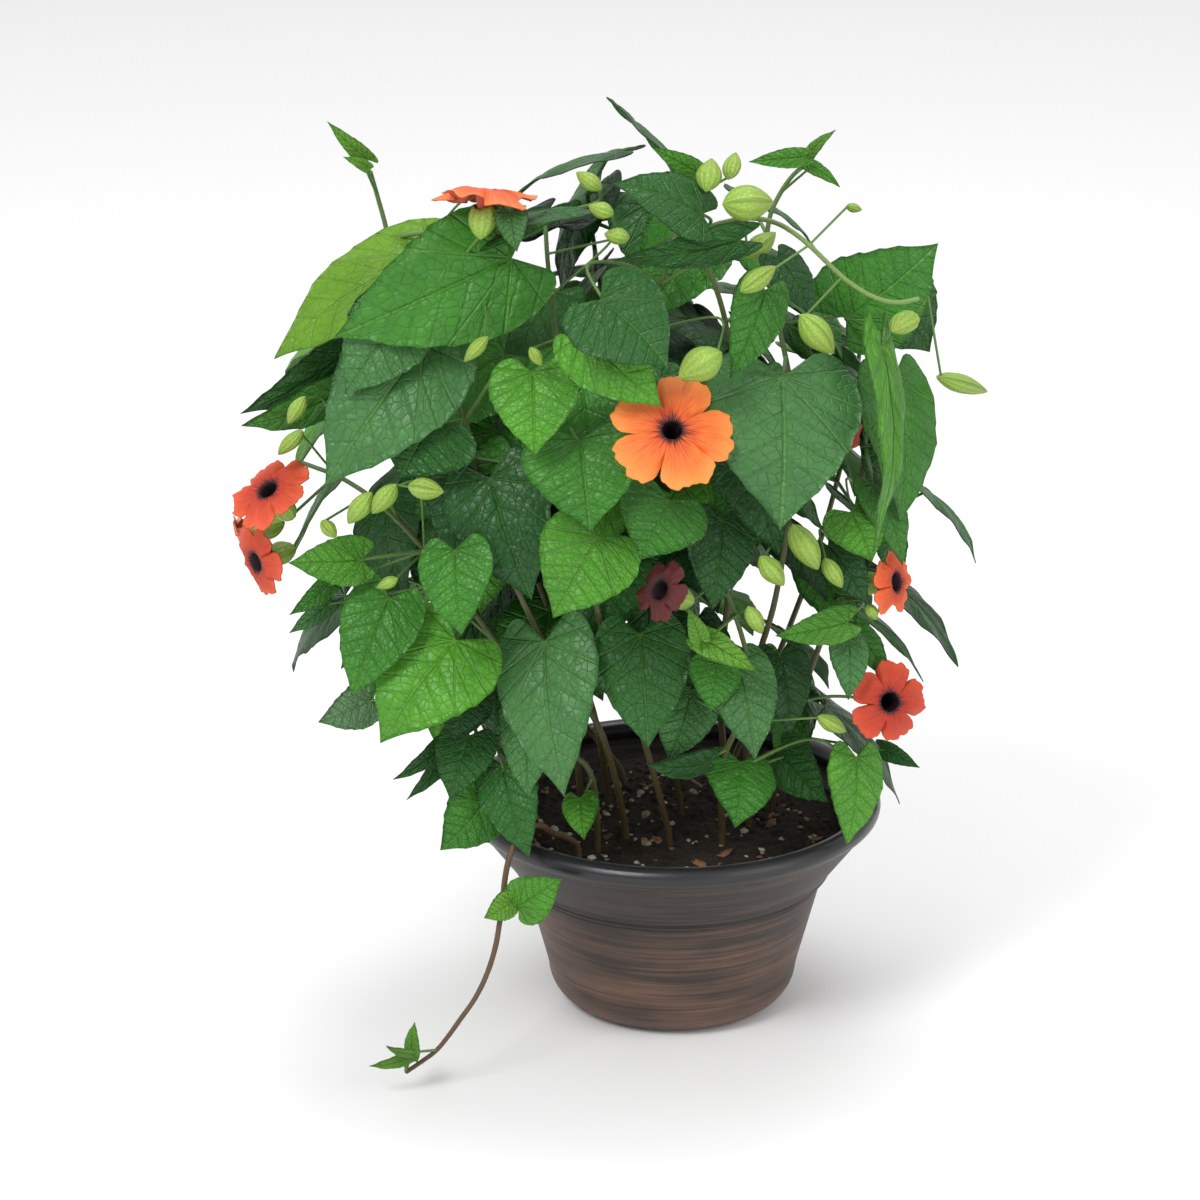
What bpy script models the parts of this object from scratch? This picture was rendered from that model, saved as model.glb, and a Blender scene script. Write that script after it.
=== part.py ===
"""A black eyed susan vine in its plastic pot, about 360 mm high, as separate closed solids.

Leafy vines stand in holes in the soil. Each one carries its leaves, petioles, flower stalks, bracts
and buds as one body. The orange corollas are bodies of their own, set into their cups of bracts.
Tables are in millimetres and picture pixels, meshes in metres. +Z is up and -Y is the front.
"""
import math
import random

import bmesh
import bpy
import numpy as np
from mathutils import Matrix, Vector, geometry
from mathutils.bvhtree import BVHTree

MM = 0.001

# Pot, turned plastic, all in mm
POT_HEIGHT = 87.0
RIM_RADIUS = 82.5
ROLL_RADIUS = 4.2
BAND_TOP_RADIUS = 80.5
BAND_FOOT_RADIUS = 62.0
BAND_FOOT_HEIGHT = 55.0
BODY_TOP_RADIUS = 59.2
BODY_FOOT_RADIUS = 49.5
BODY_FOOT_HEIGHT = 15.0
FOOT_RADIUS = 35.0
POT_WALL = 1.6
POT_SIDES = 26
POT_STEP = 1.2
ROLL_ANGLES = (210, 165, 120, 75, 30, -15, -60)
DRAIN_HOLES = 4
DRAIN_RADIUS = 4.0
DRAIN_PLACE = 28.0
DRAIN_SIDES = 12
DRAIN_DEPTH = 12.0

# Soil
SOIL_HEIGHT = 74.0
SOIL_SIDES = 20
SOIL_TOP = [(0.0, 1.0), (16.0, 0.6), (32.0, 0.0), (48.0, -0.6), (60.0, -0.8), (70.6, -1.2)]
SOIL_UNEVEN = 0.9
GRAIN_COUNT = 14
GRAIN_SIZES = (2.0, 3.2)
GRAIN_REACH = 66.0
GRAIN_ROOM = 7.0
BARK_STRETCH = 2.2
FIT_GAP = 0.35
HOLE_GAP = 1.6
HOLE_SIDES = 6
HOLE_DEPTH = 36.0
STEM_FOOT = 12.0
STEM_CLEAR = 6.0
SCRAP_VOLUME = 8.0
COLLAPSE_SHARES = [0.64, 0.68, 0.72, 0.77, 0.83, 0.90]

# Leaf blade, stalks and stems
BLADE_THICKNESS = 0.7
STEM_RADIUS = 1.4
STEM_SPACING = 4.0
STEM_STRIDE = 4
STALK_RADIUS = 0.8
STALK_SINK = 2.5
STALK_STRIDE = 32.0
CLEARANCE = 3.4
KIN_CLEARANCE = 2.0
WALL_ROOM = 3.0
RIM_ROOM = 2.5
FLOOR_ROOM = 1.6
ROOM_CELL = 2.0
ROOM_LOW = np.array([-220.0, -160.0, 0.0])
ROOM_HIGH = np.array([160.0, 160.0, 400.0])

# The view that the places were read from, a picture 1200 pixels square
VIEW_TILT = math.radians(20.5)
VIEW_DISTANCE = 2200.0
VIEW_AIM = np.array([-29.0, 0.0, 167.7])
VIEW_SCALE = 0.3922
VIEW_CENTRE = 600.0

# The rounded crown of foliage, as picture pixels for its front and mm for the rest
CROWN_MIDDLE = (600.0, 480.0)
CROWN_REACH = (385.0, 415.0)
CROWN_DEPTH = 92.0
CROWN_CENTRE = np.array([-24.0, 0.0, 208.0])
CROWN_RADII = np.array([138.0, 92.0, 142.0])


def seen(across, down, front):
    """The point that shows at a pixel and lies that many mm in front of the pot's axis."""
    forward = np.array([0.0, math.cos(VIEW_TILT), -math.sin(VIEW_TILT)])
    upward = np.array([0.0, math.sin(VIEW_TILT), math.cos(VIEW_TILT)])
    eye = VIEW_AIM - forward * VIEW_DISTANCE
    ray = forward * VIEW_DISTANCE + upward * (VIEW_CENTRE - down) * VIEW_SCALE
    ray = ray + np.array([(across - VIEW_CENTRE) * VIEW_SCALE, 0.0, 0.0])
    return eye + ray * ((-front - eye[1]) / ray[1])


def crown_front(across, down):
    """How far the crown's face stands before the pot's axis at a pixel, in mm."""
    u = (across - CROWN_MIDDLE[0]) / CROWN_REACH[0]
    v = (down - CROWN_MIDDLE[1]) / CROWN_REACH[1]
    return CROWN_DEPTH * math.sqrt(max(0.04, 1.0 - u * u - v * v))


# Stems: where each leaves the soil (x, front), then (pixel across, pixel down, front)
STEMS = {
    "vine_top_left": ((-26, -14), [(590, 700, 8), (545, 600, 18), (500, 480, 26), (450, 380, 30),
                                   (415, 300, 26), (393, 250, 20), (380, 205, 14), (367, 160, 10)]),
    "vine_left": ((-36, 6), [(565, 715, 24), (500, 645, 38), (445, 575, 44), (392, 515, 42),
                             (345, 480, 32), (300, 462, 22)]),
    "vine_mid_left": ((-19, 21), [(600, 730, 38), (548, 650, 48), (505, 560, 52), (478, 470, 52),
                                  (462, 400, 46), (452, 340, 38)]),
    "vine_centre": ((-2, 27), [(636, 715, 48), (600, 620, 56), (580, 520, 60), (566, 420, 58),
                               (556, 330, 48), (548, 265, 34), (545, 215, 24)]),
    "vine_top": ((3, -4), [(655, 690, 10), (645, 560, 18), (642, 430, 24), (655, 320, 24),
                           (672, 245, 18), (690, 195, 10), (690, 172, 8)]),
    "vine_long_shoot": ((22, -18), [(720, 680, -8), (735, 540, -2), (738, 420, 6), (725, 320, 14),
                                    (703, 240, 30), (735, 220, 44), (770, 221, 56), (802, 239, 64),
                                    (850, 283, 70), (890, 302, 70), (928, 297, 64)]),
    "vine_right": ((30, 8), [(748, 700, 26), (775, 600, 40), (790, 500, 46), (792, 400, 46),
                             (780, 330, 38), (772, 280, 30), (768, 225, 20), (786, 184, 12),
                             (806, 164, 8)]),
    "vine_far_right": ((40, -10), [(800, 700, 0), (835, 600, 6), (858, 500, 12), (868, 410, 14),
                                   (872, 350, 10)]),
    "vine_low_right": ((19, 27), [(722, 765, 44), (742, 715, 54), (748, 665, 58), (735, 615, 58),
                                  (715, 560, 58)]),
    "vine_low_left": ((-30, 32), [(590, 772, 44), (552, 745, 50), (512, 735, 50), (478, 742, 44)]),
}
# Stems over the rim and behind the crown, as (x, front, height) in mm
PLACED_STEMS = {
    "vine_trailing": ((-38, 40), [(-47, 49, 89), (-54, 56.5, 96), (-61, 63.5, 93), (-65, 69, 83),
                                  (-67, 74, 68), (-70, 80, 52), (-76, 86, 38), (-85, 91, 26),
                                  (-92, 93, 17), (-104, 94, 8)]),
    "vine_back_left": ((-20, -34), [(-45, -48, 110), (-75, -56, 160), (-98, -52, 215), (-108, -40, 262)]),
    "vine_back": ((0, -40), [(0, -58, 115), (-10, -66, 175), (-22, -62, 235), (-30, -46, 290),
                             (-34, -28, 325)]),
    "vine_back_right": ((24, -40), [(38, -54, 110), (58, -60, 165), (70, -54, 220), (74, -38, 268)]),
}

# Leaves read from the picture: vine, leaf-stalk end, tip, lift off the crown, tip forward of the
# stalk end, width (all but the pixels in mm), roll in degrees
LEAVES = {
    "top_left_big": ("vine_top_left", (512, 258), (334, 337), 0, 12, 50, 25),
    "top_left_glow": ("vine_top_left", (430, 256), (275, 360), -16, 8, 50, -20),
    "top_left_small": ("vine_top_left", (510, 212), (517, 252), 10, 8, 12, 0),
    "top_left_edge_on": ("vine_top_left", (498, 236), (611, 214), -4, 0, 24, 50),
    "left_wet": ("vine_top_left", (402, 312), (345, 395), 4, 10, 34, 20),
    "left_pale_large": ("vine_top_left", (425, 345), (325, 487), 0, 16, 50, 10),
    "left_edge_upper": ("vine_top_left", (345, 352), (240, 413), -14, 4, 20, 60),
    "left_edge_lower": ("vine_top_left", (338, 392), (241, 425), -18, 4, 20, 62),
    "shoot_tip_a": ("vine_top_left", (368, 160), (327, 121), 0, 2, 7, 20),
    "shoot_tip_b": ("vine_top_left", (369, 168), (343, 157), 4, 3, 5, 0),
    "left_hand": ("vine_left", (362, 560), (288, 563), 2, 6, 20, 0),
    "left_narrow_a": ("vine_left", (332, 582), (289, 615), -4, 4, 9, 30),
    "left_narrow_b": ("vine_left", (332, 600), (289, 633), -10, 3, 9, 30),
    "left_low": ("vine_left", (390, 598), (352, 697), 4, 14, 32, 10),
    "left_pale_back": ("vine_left", (372, 700), (318, 722), -14, 6, 20, 10),
    "left_glossy": ("vine_left", (456, 640), (380, 743), 6, 16, 48, -10),
    "mid_left_lower": ("vine_mid_left", (455, 550), (462, 636), 6, 14, 30, 0),
    "mid_left_broad": ("vine_mid_left", (432, 421), (400, 478), -10, 8, 42, 15),
    "mid_left_dark_a": ("vine_mid_left", (490, 478), (532, 600), -14, 14, 42, 0),
    "mid_left_dark_b": ("vine_mid_left", (480, 475), (452, 566), -16, 12, 38, 0),
    "centre_heart": ("vine_mid_left", (533, 372), (535, 456), 6, 14, 34, 5),
    "centre_low_large": ("vine_centre", (545, 641), (565, 797), 4, 24, 44, -12),
    "centre_bright": ("vine_centre", (598, 537), (553, 618), 8, 16, 40, 0),
    "centre_quilted": ("vine_centre", (580, 440), (590, 532), 2, 18, 46, 5),
    "centre_folded": ("vine_centre", (583, 333), (662, 407), 2, 12, 32, -15),
    "centre_smooth": ("vine_top", (600, 300), (668, 368), 4, 8, 44, 20),
    "top_quilted": ("vine_top", (702, 214), (612, 183), 10, 6, 26, -10),
    "top_narrow": ("vine_top", (740, 240), (612, 260), -2, 2, 16, 40),
    "top_sliver": ("vine_top", (700, 174), (651, 147), 0, 2, 9, 20),
    "upper_margined": ("vine_right", (765, 290), (730, 378), 4, 12, 24, 20),
    "upper_dark": ("vine_right", (778, 258), (812, 318), -8, 8, 20, 20),
    "shoot_toothed_a": ("vine_right", (803, 157), (748, 162), 0, 2, 8, 20),
    "shoot_toothed_b": ("vine_right", (806, 158), (836, 130), 0, 2, 6, 20),
    "shoot_toothed_c": ("vine_right", (806, 163), (840, 187), 3, 3, 6, 0),
    "right_top_big": ("vine_long_shoot", (846, 318), (938, 243), -6, 0, 44, -20),
    "right_top_under": ("vine_far_right", (880, 290), (930, 352), -8, 8, 40, -10),
    "hero": ("vine_right", (782, 377), (780, 530), 8, 22, 62, 0),
    "hero_behind": ("vine_right", (742, 452), (779, 556), -10, 14, 30, 0),
    "right_upright": ("vine_far_right", (881, 347), (871, 552), 20, 22, 24, 40),
    "far_right_large": ("vine_far_right", (893, 380), (900, 523), -2, 14, 40, 20),
    "far_right_low": ("vine_far_right", (873, 485), (902, 565), -8, 8, 22, 20),
    "right_light": ("vine_far_right", (850, 512), (872, 562), 2, 8, 26, 0),
    "right_dark": ("vine_far_right", (828, 545), (868, 605), 0, 8, 20, 0),
    "centre_right_quilted": ("vine_low_right", (669, 500), (640, 560), 0, 12, 36, 0),
    "centre_right_dark": ("vine_low_right", (722, 520), (712, 610), -8, 12, 28, 0),
    "low_right_a": ("vine_far_right", (848, 622), (775, 636), -2, 4, 15, 0),
    "low_right_b": ("vine_far_right", (848, 640), (848, 700), 2, 8, 17, 0),
    "low_right_c": ("vine_far_right", (856, 632), (888, 680), -8, 6, 14, 10),
    "rim_right": ("vine_low_right", (856, 757), (846, 845), 8, 10, 26, 5),
    "rim_blue": ("vine_low_right", (780, 752), (828, 803), 0, 12, 22, -10),
    "rim_round": ("vine_low_right", (740, 762), (735, 828), 4, 18, 32, 0),
    "rim_dark": ("vine_low_right", (708, 762), (646, 764), 0, 6, 16, 20),
    "low_grey": ("vine_low_right", (735, 662), (755, 760), 4, 16, 30, 10),
    "low_behind": ("vine_low_right", (780, 655), (790, 735), -14, 10, 24, 0),
    "low_quilted": ("vine_low_right", (716, 664), (710, 712), 0, 10, 22, 0),
    "low_bright": ("vine_low_right", (700, 638), (757, 672), 10, 8, 12, 20),
    "low_pale_small": ("vine_low_right", (701, 640), (688, 608), 8, 2, 8, 0),
    "inner_grey_a": ("vine_centre", (640, 634), (648, 748), -8, 12, 38, 0),
    "inner_grey_b": ("vine_low_right", (690, 690), (668, 762), -14, 12, 28, 0),
    "far_low_narrow": ("vine_far_right", (880, 748), (920, 768), -16, 4, 8, 20),
    "rim_left_round": ("vine_low_left", (488, 796), (440, 850), 8, 10, 30, 15),
    "rim_left_grey": ("vine_low_left", (503, 766), (530, 858), 6, 14, 26, 0),
    "rim_left_behind": ("vine_low_left", (530, 700), (528, 800), -12, 14, 24, 0),
    "rim_left_narrow_a": ("vine_low_left", (450, 738), (393, 780), -10, 4, 9, 20),
    "rim_left_narrow_b": ("vine_low_left", (456, 744), (406, 800), -14, 4, 9, 20),
    "rim_left_olive": ("vine_low_left", (470, 735), (450, 800), 0, 10, 24, 0),
    "rim_left_dark": ("vine_low_left", (468, 696), (455, 742), -10, 8, 22, 0),
    "rim_bright_small": ("vine_low_left", (580, 798), (584, 840), 4, 10, 15, 0),
    "trail_bright": ("vine_trailing", (519, 906), (562, 878), 58, 4, 20, 20),
    "trail_bright_left": ("vine_trailing", (511, 902), (484, 918), 60, 3, 12, 0),
    "trail_tip_a": ("vine_trailing", (412, 1056), (415, 1022), 74, -6, 7, 20),
    "trail_tip_b": ("vine_trailing", (411, 1057), (369, 1066), 80, 3, 6, 0),
    "trail_tip_c": ("vine_trailing", (411, 1054), (386, 1046), 80, 0, 5, 10),
}

# Flowers: vine, throat pixel, lift off the crown, way they face (x, front, up), lobe reach in mm
FLOWERS = {
    "corolla_hero": ("vine_centre", (672, 430), 12, (0.05, 1.0, 0.85), 24),
    "corolla_low_right": ("vine_low_right", (890, 702), 22, (0.35, 1.0, 0.30), 16),
    "corolla_dark_centre": ("vine_low_right", (660, 590), 6, (-0.8, 0.7, 0.6), 12),
    "corolla_right": ("vine_far_right", (896, 582), 6, (0.85, 0.45, 0.2), 13),
    "corolla_top_left": ("vine_top_left", (485, 190), 8, (0.1, -0.3, 1.0), 19),
    "corolla_left_upper": ("vine_left", (268, 490), 8, (-0.5, 0.45, 0.85), 17),
    "corolla_left_faded": ("vine_left", (240, 538), -4, (-0.9, 0.1, -0.3), 9),
    "corolla_left_lower": ("vine_left", (256, 562), 10, (-0.8, 0.6, -0.1), 14),
}
BACK_FLOWERS = {
    "corolla_back_left": ("vine_back_left", (-96, -96, 236), (-0.4, -0.9, 0.3), 21),
    "corolla_back_right": ("vine_back_right", (62, -100, 214), (0.3, -0.95, 0.25), 21),
}

# Buds in their pale ribbed bracts: vine, root pixel, tip pixel, lift, thickness in mm
BUDS = {
    "left_a": ("vine_left", (305, 396), (288, 424), 4, 6),
    "left_b": ("vine_left", (303, 430), (278, 455), 0, 6),
    "left_c": ("vine_left", (372, 492), (348, 524), 8, 8),
    "left_d": ("vine_left", (396, 484), (372, 514), 6, 8),
    "left_e": ("vine_left", (408, 486), (444, 492), 12, 9),
    "left_f": ("vine_left", (322, 520), (336, 538), 10, 6),
    "left_g": ("vine_left", (398, 578), (377, 588), 6, 5),
    "mid_a": ("vine_top_left", (488, 336), (464, 362), 8, 6),
    "mid_b": ("vine_centre", (530, 347), (542, 366), 8, 5),
    "top_a": ("vine_centre", (602, 190), (576, 172), 4, 7),
    "top_b": ("vine_centre", (614, 214), (588, 206), 8, 7),
    "top_c": ("vine_centre", (630, 238), (604, 234), 4, 7),
    "top_d": ("vine_top", (706, 192), (712, 158), 8, 8),
    "top_e": ("vine_top", (728, 180), (736, 152), 0, 6),
    "shoot_a": ("vine_long_shoot", (722, 204), (774, 202), 14, 15),
    "shoot_b": ("vine_long_shoot", (745, 258), (776, 232), -14, 9),
    "shoot_c": ("vine_long_shoot", (740, 292), (776, 266), 8, 9),
    "tendril_tip": ("vine_long_shoot", (846, 206), (862, 210), -12, 4),
    "oval": ("vine_top", (722, 352), (678, 378), 14, 14),
    "right_a": ("vine_long_shoot", (800, 314), (834, 354), 10, 12),
    "far_right": ("vine_long_shoot", (936, 376), (988, 392), 2, 8),
    "hairy": ("vine_long_shoot", (915, 314), (892, 332), 22, 9),
    "right_b": ("vine_right", (760, 556), (784, 586), 6, 9),
    "right_c": ("vine_right", (792, 524), (818, 570), 4, 11),
    "right_d": ("vine_far_right", (824, 558), (842, 588), 4, 7),
    "low_a": ("vine_low_right", (748, 606), (762, 634), 6, 7),
    "low_b": ("vine_far_right", (868, 604), (876, 620), 6, 5),
    "low_c": ("vine_low_right", (818, 716), (846, 732), 8, 7),
}

# Leaf outline, one side: share of length from the stalk end, share of the half width
HALF_OUTLINE = [(-0.16, 0.40), (-0.07, 0.84), (0.20, 1.0), (0.50, 0.78), (0.78, 0.38)]
MIDRIB = [0.30, 0.66]
SMALL_HALF_OUTLINE = [(-0.12, 0.62), (0.20, 1.0), (0.64, 0.62)]
SMALL_MIDRIB = [0.42]
SMALL_LEAF = 26.0
BLADE_ARCH = 0.09
BLADE_CUP = 0.16
BLADE_FOLD = 0.10
LIFT_STEPS = [0, 4, -4, 8, -8, 12, -12, 17, -17, 23, -23]

# Corolla, in mm back along its axis and out from it
TUBE_REACH = 16.0
TUBE_RADIUS = 1.4
THROAT_RADIUS = 3.8
LOBES = 5
CUP_BACK = 18.5
CUP_FRONT = 9.5
CUP_RADIUS = 5.0
CUP_HEEL = 4.7
CUP_BORE = 3.6
CUP_FLOOR = 1.7
CUP_SIDES = 6

# Leaves that fill the crown all round, behind and inside the ones in the picture
FILL_COUNT = 90
FILL_CROSSINGS = 3
FILL_STALK = 75.0
FILL_LENGTH = (34.0, 56.0)
FILL_SEED = 20


def unit(vector):
    """The vector at length one."""
    vector = np.asarray(vector, dtype=float)
    return vector / max(np.linalg.norm(vector), 1e-9)


def smooth_path(points, spacing):
    """Points about every spacing mm along a smooth curve through the given ones."""
    points = np.asarray(points, dtype=float)
    ends = np.vstack([2 * points[0] - points[1], points, 2 * points[-1] - points[-2]])
    path = []
    for a, b, c, d in zip(ends[:-3], ends[1:-2], ends[2:-1], ends[3:]):
        count = max(1, round(float(np.linalg.norm(c - b)) / spacing))
        for u in np.arange(count) / count:
            bend = (2 * a - 5 * b + 4 * c - d) * u * u + (3 * b - a - 3 * c + d) * u ** 3
            path.append(0.5 * (2 * b + (c - a) * u + bend))
    path.append(points[-1])
    return np.array(path)


def stem_routes():
    """Each stem's fine path in mm, from inside the soil to its tip."""
    routes = {}
    for name, ((x, front), marks) in STEMS.items():
        start = [(x, -front, SOIL_HEIGHT - STEM_FOOT), (x, -front, SOIL_HEIGHT + STEM_CLEAR)]
        routes[name] = smooth_path(start + [seen(*mark) for mark in marks], STEM_SPACING)
    for name, ((x, front), places) in PLACED_STEMS.items():
        start = [(x, -front, SOIL_HEIGHT - STEM_FOOT), (x, -front, SOIL_HEIGHT + STEM_CLEAR)]
        routes[name] = smooth_path(start + [(px, -py, pz) for px, py, pz in places], STEM_SPACING)
    return routes


class Blade:
    """A leaf blade: its base, tip, width and the way its upper face looks."""

    def __init__(self, base, tip, width, facing, roll):
        self.base = np.asarray(base, dtype=float)
        self.length = float(np.linalg.norm(tip - self.base))
        self.plain = self.length < SMALL_LEAF
        self.half = width / 2
        self.along = unit(tip - self.base)
        face = facing - self.along * float(np.dot(facing, self.along))
        face = unit(face)
        side = np.cross(face, self.along)
        turn = math.radians(roll)
        self.face = face * math.cos(turn) + side * math.sin(turn)
        self.side = np.cross(self.along, self.face)

    def at(self, t, s):
        """The points at shares t of the length and s of the half width, arched, cupped and folded."""
        t = np.asarray(t, dtype=float)
        s = np.asarray(s, dtype=float)
        rise = BLADE_ARCH * self.length * np.sin(math.pi * np.clip(t, -0.2, 1.0))
        rise = rise + self.half * (BLADE_FOLD * np.abs(s) - BLADE_CUP * s * s)
        return (self.base + np.multiply.outer(t * self.length, self.along)
                + np.multiply.outer(s * self.half, self.side) + np.multiply.outer(rise, self.face))

    def samples(self):
        """Points about 4 mm apart over the blade, for finding what it would touch."""
        outline = np.array([(0.0, 0.0)] + HALF_OUTLINE + [(1.0, 0.0)])
        rows = max(4, int(self.length * 1.15 / 4))
        columns = max(2, int(self.half / 4) + 1)
        found = []
        for t in np.linspace(-0.12, 1.0, rows):
            reach = np.interp(t, outline[2:, 0], outline[2:, 1])
            found += [(t, s * reach) for s in np.linspace(-1, 1, 2 * columns + 1)]
        found = np.array(found)
        return self.at(found[:, 0], found[:, 1])


def stalk_route(start, end, heading, sink):
    """A stalk's path from a stem, rising and then running along its heading, sunk past its end."""
    start = np.asarray(start, dtype=float)
    reach = float(np.linalg.norm(end - start))
    leave = start + (unit(end - start) + np.array([0.0, 0.0, 0.45])) * reach * 0.35
    arrive = end - unit(heading) * reach * 0.35
    path = []
    for u in np.linspace(0.0, 1.0, max(2, round(reach / STALK_STRIDE) + 1)):
        path.append((1 - u) ** 3 * start + 3 * (1 - u) ** 2 * u * leave
                    + 3 * (1 - u) * u * u * arrive + u ** 3 * end)
    path[-1] = end + unit(heading) * sink
    return np.array(path)


def along_samples(path, spacing=3.0):
    """Points every few mm along straight runs between a path's points."""
    found = []
    for a, b in zip(path[:-1], path[1:]):
        count = max(1, int(np.linalg.norm(b - a) / spacing))
        found += [a + (b - a) * k / count for k in range(count)]
    found.append(path[-1])
    return np.array(found)


class Room:
    """A grid of small cells that remembers, as one bit per node, what stands within reach of each."""

    def __init__(self):
        shape = np.ceil((ROOM_HIGH - ROOM_LOW) / ROOM_CELL).astype(int)
        self.near = np.zeros(shape, dtype=np.int64)
        self.kin = np.zeros(shape, dtype=np.int64)
        self.names = []

    def bit(self, name):
        if name not in self.names:
            self.names.append(name)
        return 1 << self.names.index(name)

    def cells(self, points):
        found = np.floor((points - ROOM_LOW) / ROOM_CELL).astype(int)
        return tuple(np.clip(found, 0, np.array(self.near.shape) - 1).T)

    def add(self, points, owner):
        for grid, reach in ((self.near, CLEARANCE), (self.kin, KIN_CLEARANCE)):
            steps = np.arange(-reach, reach + 0.1, ROOM_CELL * 0.85)
            ball = np.array([(x, y, z) for x in steps for y in steps for z in steps])
            ball = ball[np.linalg.norm(ball, axis=1) <= reach]
            for offset in ball:
                np.bitwise_or.at(grid, self.cells(points + offset), self.bit(owner))

    def crowding(self, points, owner):
        """None where the points touch the pot, the floor or another node, else how many meet kin."""
        radius = np.hypot(points[:, 0], points[:, 1])
        in_wall = (radius < RIM_RADIUS + WALL_ROOM) & (points[:, 2] < POT_HEIGHT + RIM_ROOM)
        well = RIM_RADIUS - 2 * ROLL_RADIUS - WALL_ROOM
        in_well = (radius < well) & (points[:, 2] > SOIL_HEIGHT + WALL_ROOM)
        if np.any(in_wall & ~in_well) or np.any(points[:, 2] < FLOOR_ROOM):
            return None
        cells = self.cells(points)
        if np.any(self.near[cells] & ~self.bit(owner)):
            return None
        return int(np.count_nonzero(self.kin[cells] & self.bit(owner)))


def lift_choices(room, owner, build):
    """The first build of a piece that is clear of other nodes and crosses few of its own."""
    best = None
    for lift in LIFT_STEPS:
        for option in range(5):
            made = build(lift, option)
            if made is None:
                continue
            crowd = room.crowding(made["samples"], owner)
            if crowd is None:
                continue
            score = crowd + abs(lift) * 0.4 + option
            if best is None or score < best[0]:
                best = (score, made)
        if best is not None and best[0] <= abs(lift) * 0.4 + 2:
            break
    return None if best is None else best[1]


def stem_nodes(route):
    """The joints of a stem, 16 mm apart, that its straight runs and its stalks meet at."""
    return np.vstack([route[:-2:STEM_STRIDE], route[-1]])


def leave_point(route, end, option):
    """A joint of a stem for a stalk: the nearest good one, or the next below or above it."""
    usable = stem_nodes(route)[2:]
    reach = np.linalg.norm(usable - end, axis=1) + 0.5 * np.maximum(0.0, usable[:, 2] - end[2] + 6)
    nearest = int(np.argmin(reach))
    index = min(max(nearest + (0, -1, 1, -2, 2)[option], 0), len(usable) - 1)
    return usable[index]


def leaf_build(route, base_at, tip_at, width, facing_at, roll):
    """A maker of one leaf for a given lift, with its stalk and its samples."""
    def build(lift, option):
        base = base_at(lift)
        tip = tip_at(lift)
        blade = Blade(base, tip, width, facing_at(base), roll)
        start = leave_point(route, base, option)
        stalk = stalk_route(start, base - blade.face * 0.3, blade.along, STALK_SINK)
        stalk[-1] = blade.at(STALK_SINK / blade.length, 0.0) - blade.face * 0.1
        trail = along_samples(stalk)
        from_stem = np.linalg.norm(trail - start, axis=1) > WALL_ROOM
        return {"blade": blade, "stalk": stalk, "samples": np.vstack([blade.samples(), trail[from_stem]])}
    return build


def flower_build(name, route, throat_at, facing, reach):
    """A maker of one flower for a given lift: corolla samples, cup axis and stalk."""
    facing = unit((facing[0], -facing[1], facing[2]))
    side = unit(np.cross(facing, (0.0, 0.0, 1.0)) + np.array([1e-6, 0.0, 0.0]))
    over = np.cross(side, facing)

    def build(lift, option):
        throat = throat_at(lift)
        disc = [throat + facing * 1.0]
        for radius in np.arange(4.0, reach + 0.1, 4.0):
            for angle in np.linspace(0, 2 * math.pi, max(8, int(radius * 1.6)), endpoint=False):
                disc.append(throat + (side * math.cos(angle) + over * math.sin(angle)) * radius)
        disc += [throat - facing * back for back in (3.0, 6.0)]
        heel = throat - facing * CUP_BACK
        start = leave_point(route, heel, option)
        stalk = stalk_route(start, heel, facing, 1.5)
        cup = [throat - facing * back for back in (10.0, 13.0, 16.0, 19.0)]
        trail = along_samples(stalk)
        own = np.linalg.norm(np.array(disc)[:, None] - trail[None], axis=2)
        stem = np.linalg.norm(np.array(disc)[:, None] - route[None], axis=2)
        if own.min() < 3.0 or stem.min() < CLEARANCE:
            return None
        trail = trail[np.linalg.norm(trail - start, axis=1) > WALL_ROOM]
        return {"throat": throat, "facing": facing, "over": over, "side": side, "reach": reach,
                "stalk": stalk, "disc": np.vstack([disc, cup]), "green": np.vstack([cup, trail]),
                "samples": np.vstack([disc, cup, trail]), "name": name}
    return build


def bud_build(route, root_at, tip_at, thickness):
    """A maker of one bud for a given lift, with its stalk."""
    def build(lift, option):
        root = root_at(lift)
        tip = tip_at(lift)
        start = leave_point(route, root, option)
        stalk = stalk_route(start, root, tip - root, 0.3 * float(np.linalg.norm(tip - root)))
        trail = along_samples(stalk)
        trail = trail[np.linalg.norm(trail - start, axis=1) > WALL_ROOM]
        ring = [root + (tip - root) * u for u in (0.2, 0.5, 0.8)]
        out = unit(np.cross(tip - root, (0.3, 1.0, 0.2))) * thickness * 0.5
        ring += [root + (tip - root) * 0.5 + out, root + (tip - root) * 0.5 - out]
        return {"root": root, "tip": tip, "thickness": thickness, "stalk": stalk,
                "samples": np.vstack([ring, trail])}
    return build


def in_picture(across, down, lift):
    """A maker of the point at a pixel, lifted off the crown's face."""
    return lambda extra: seen(across, down, crown_front(across, down) + lift + extra)


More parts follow.
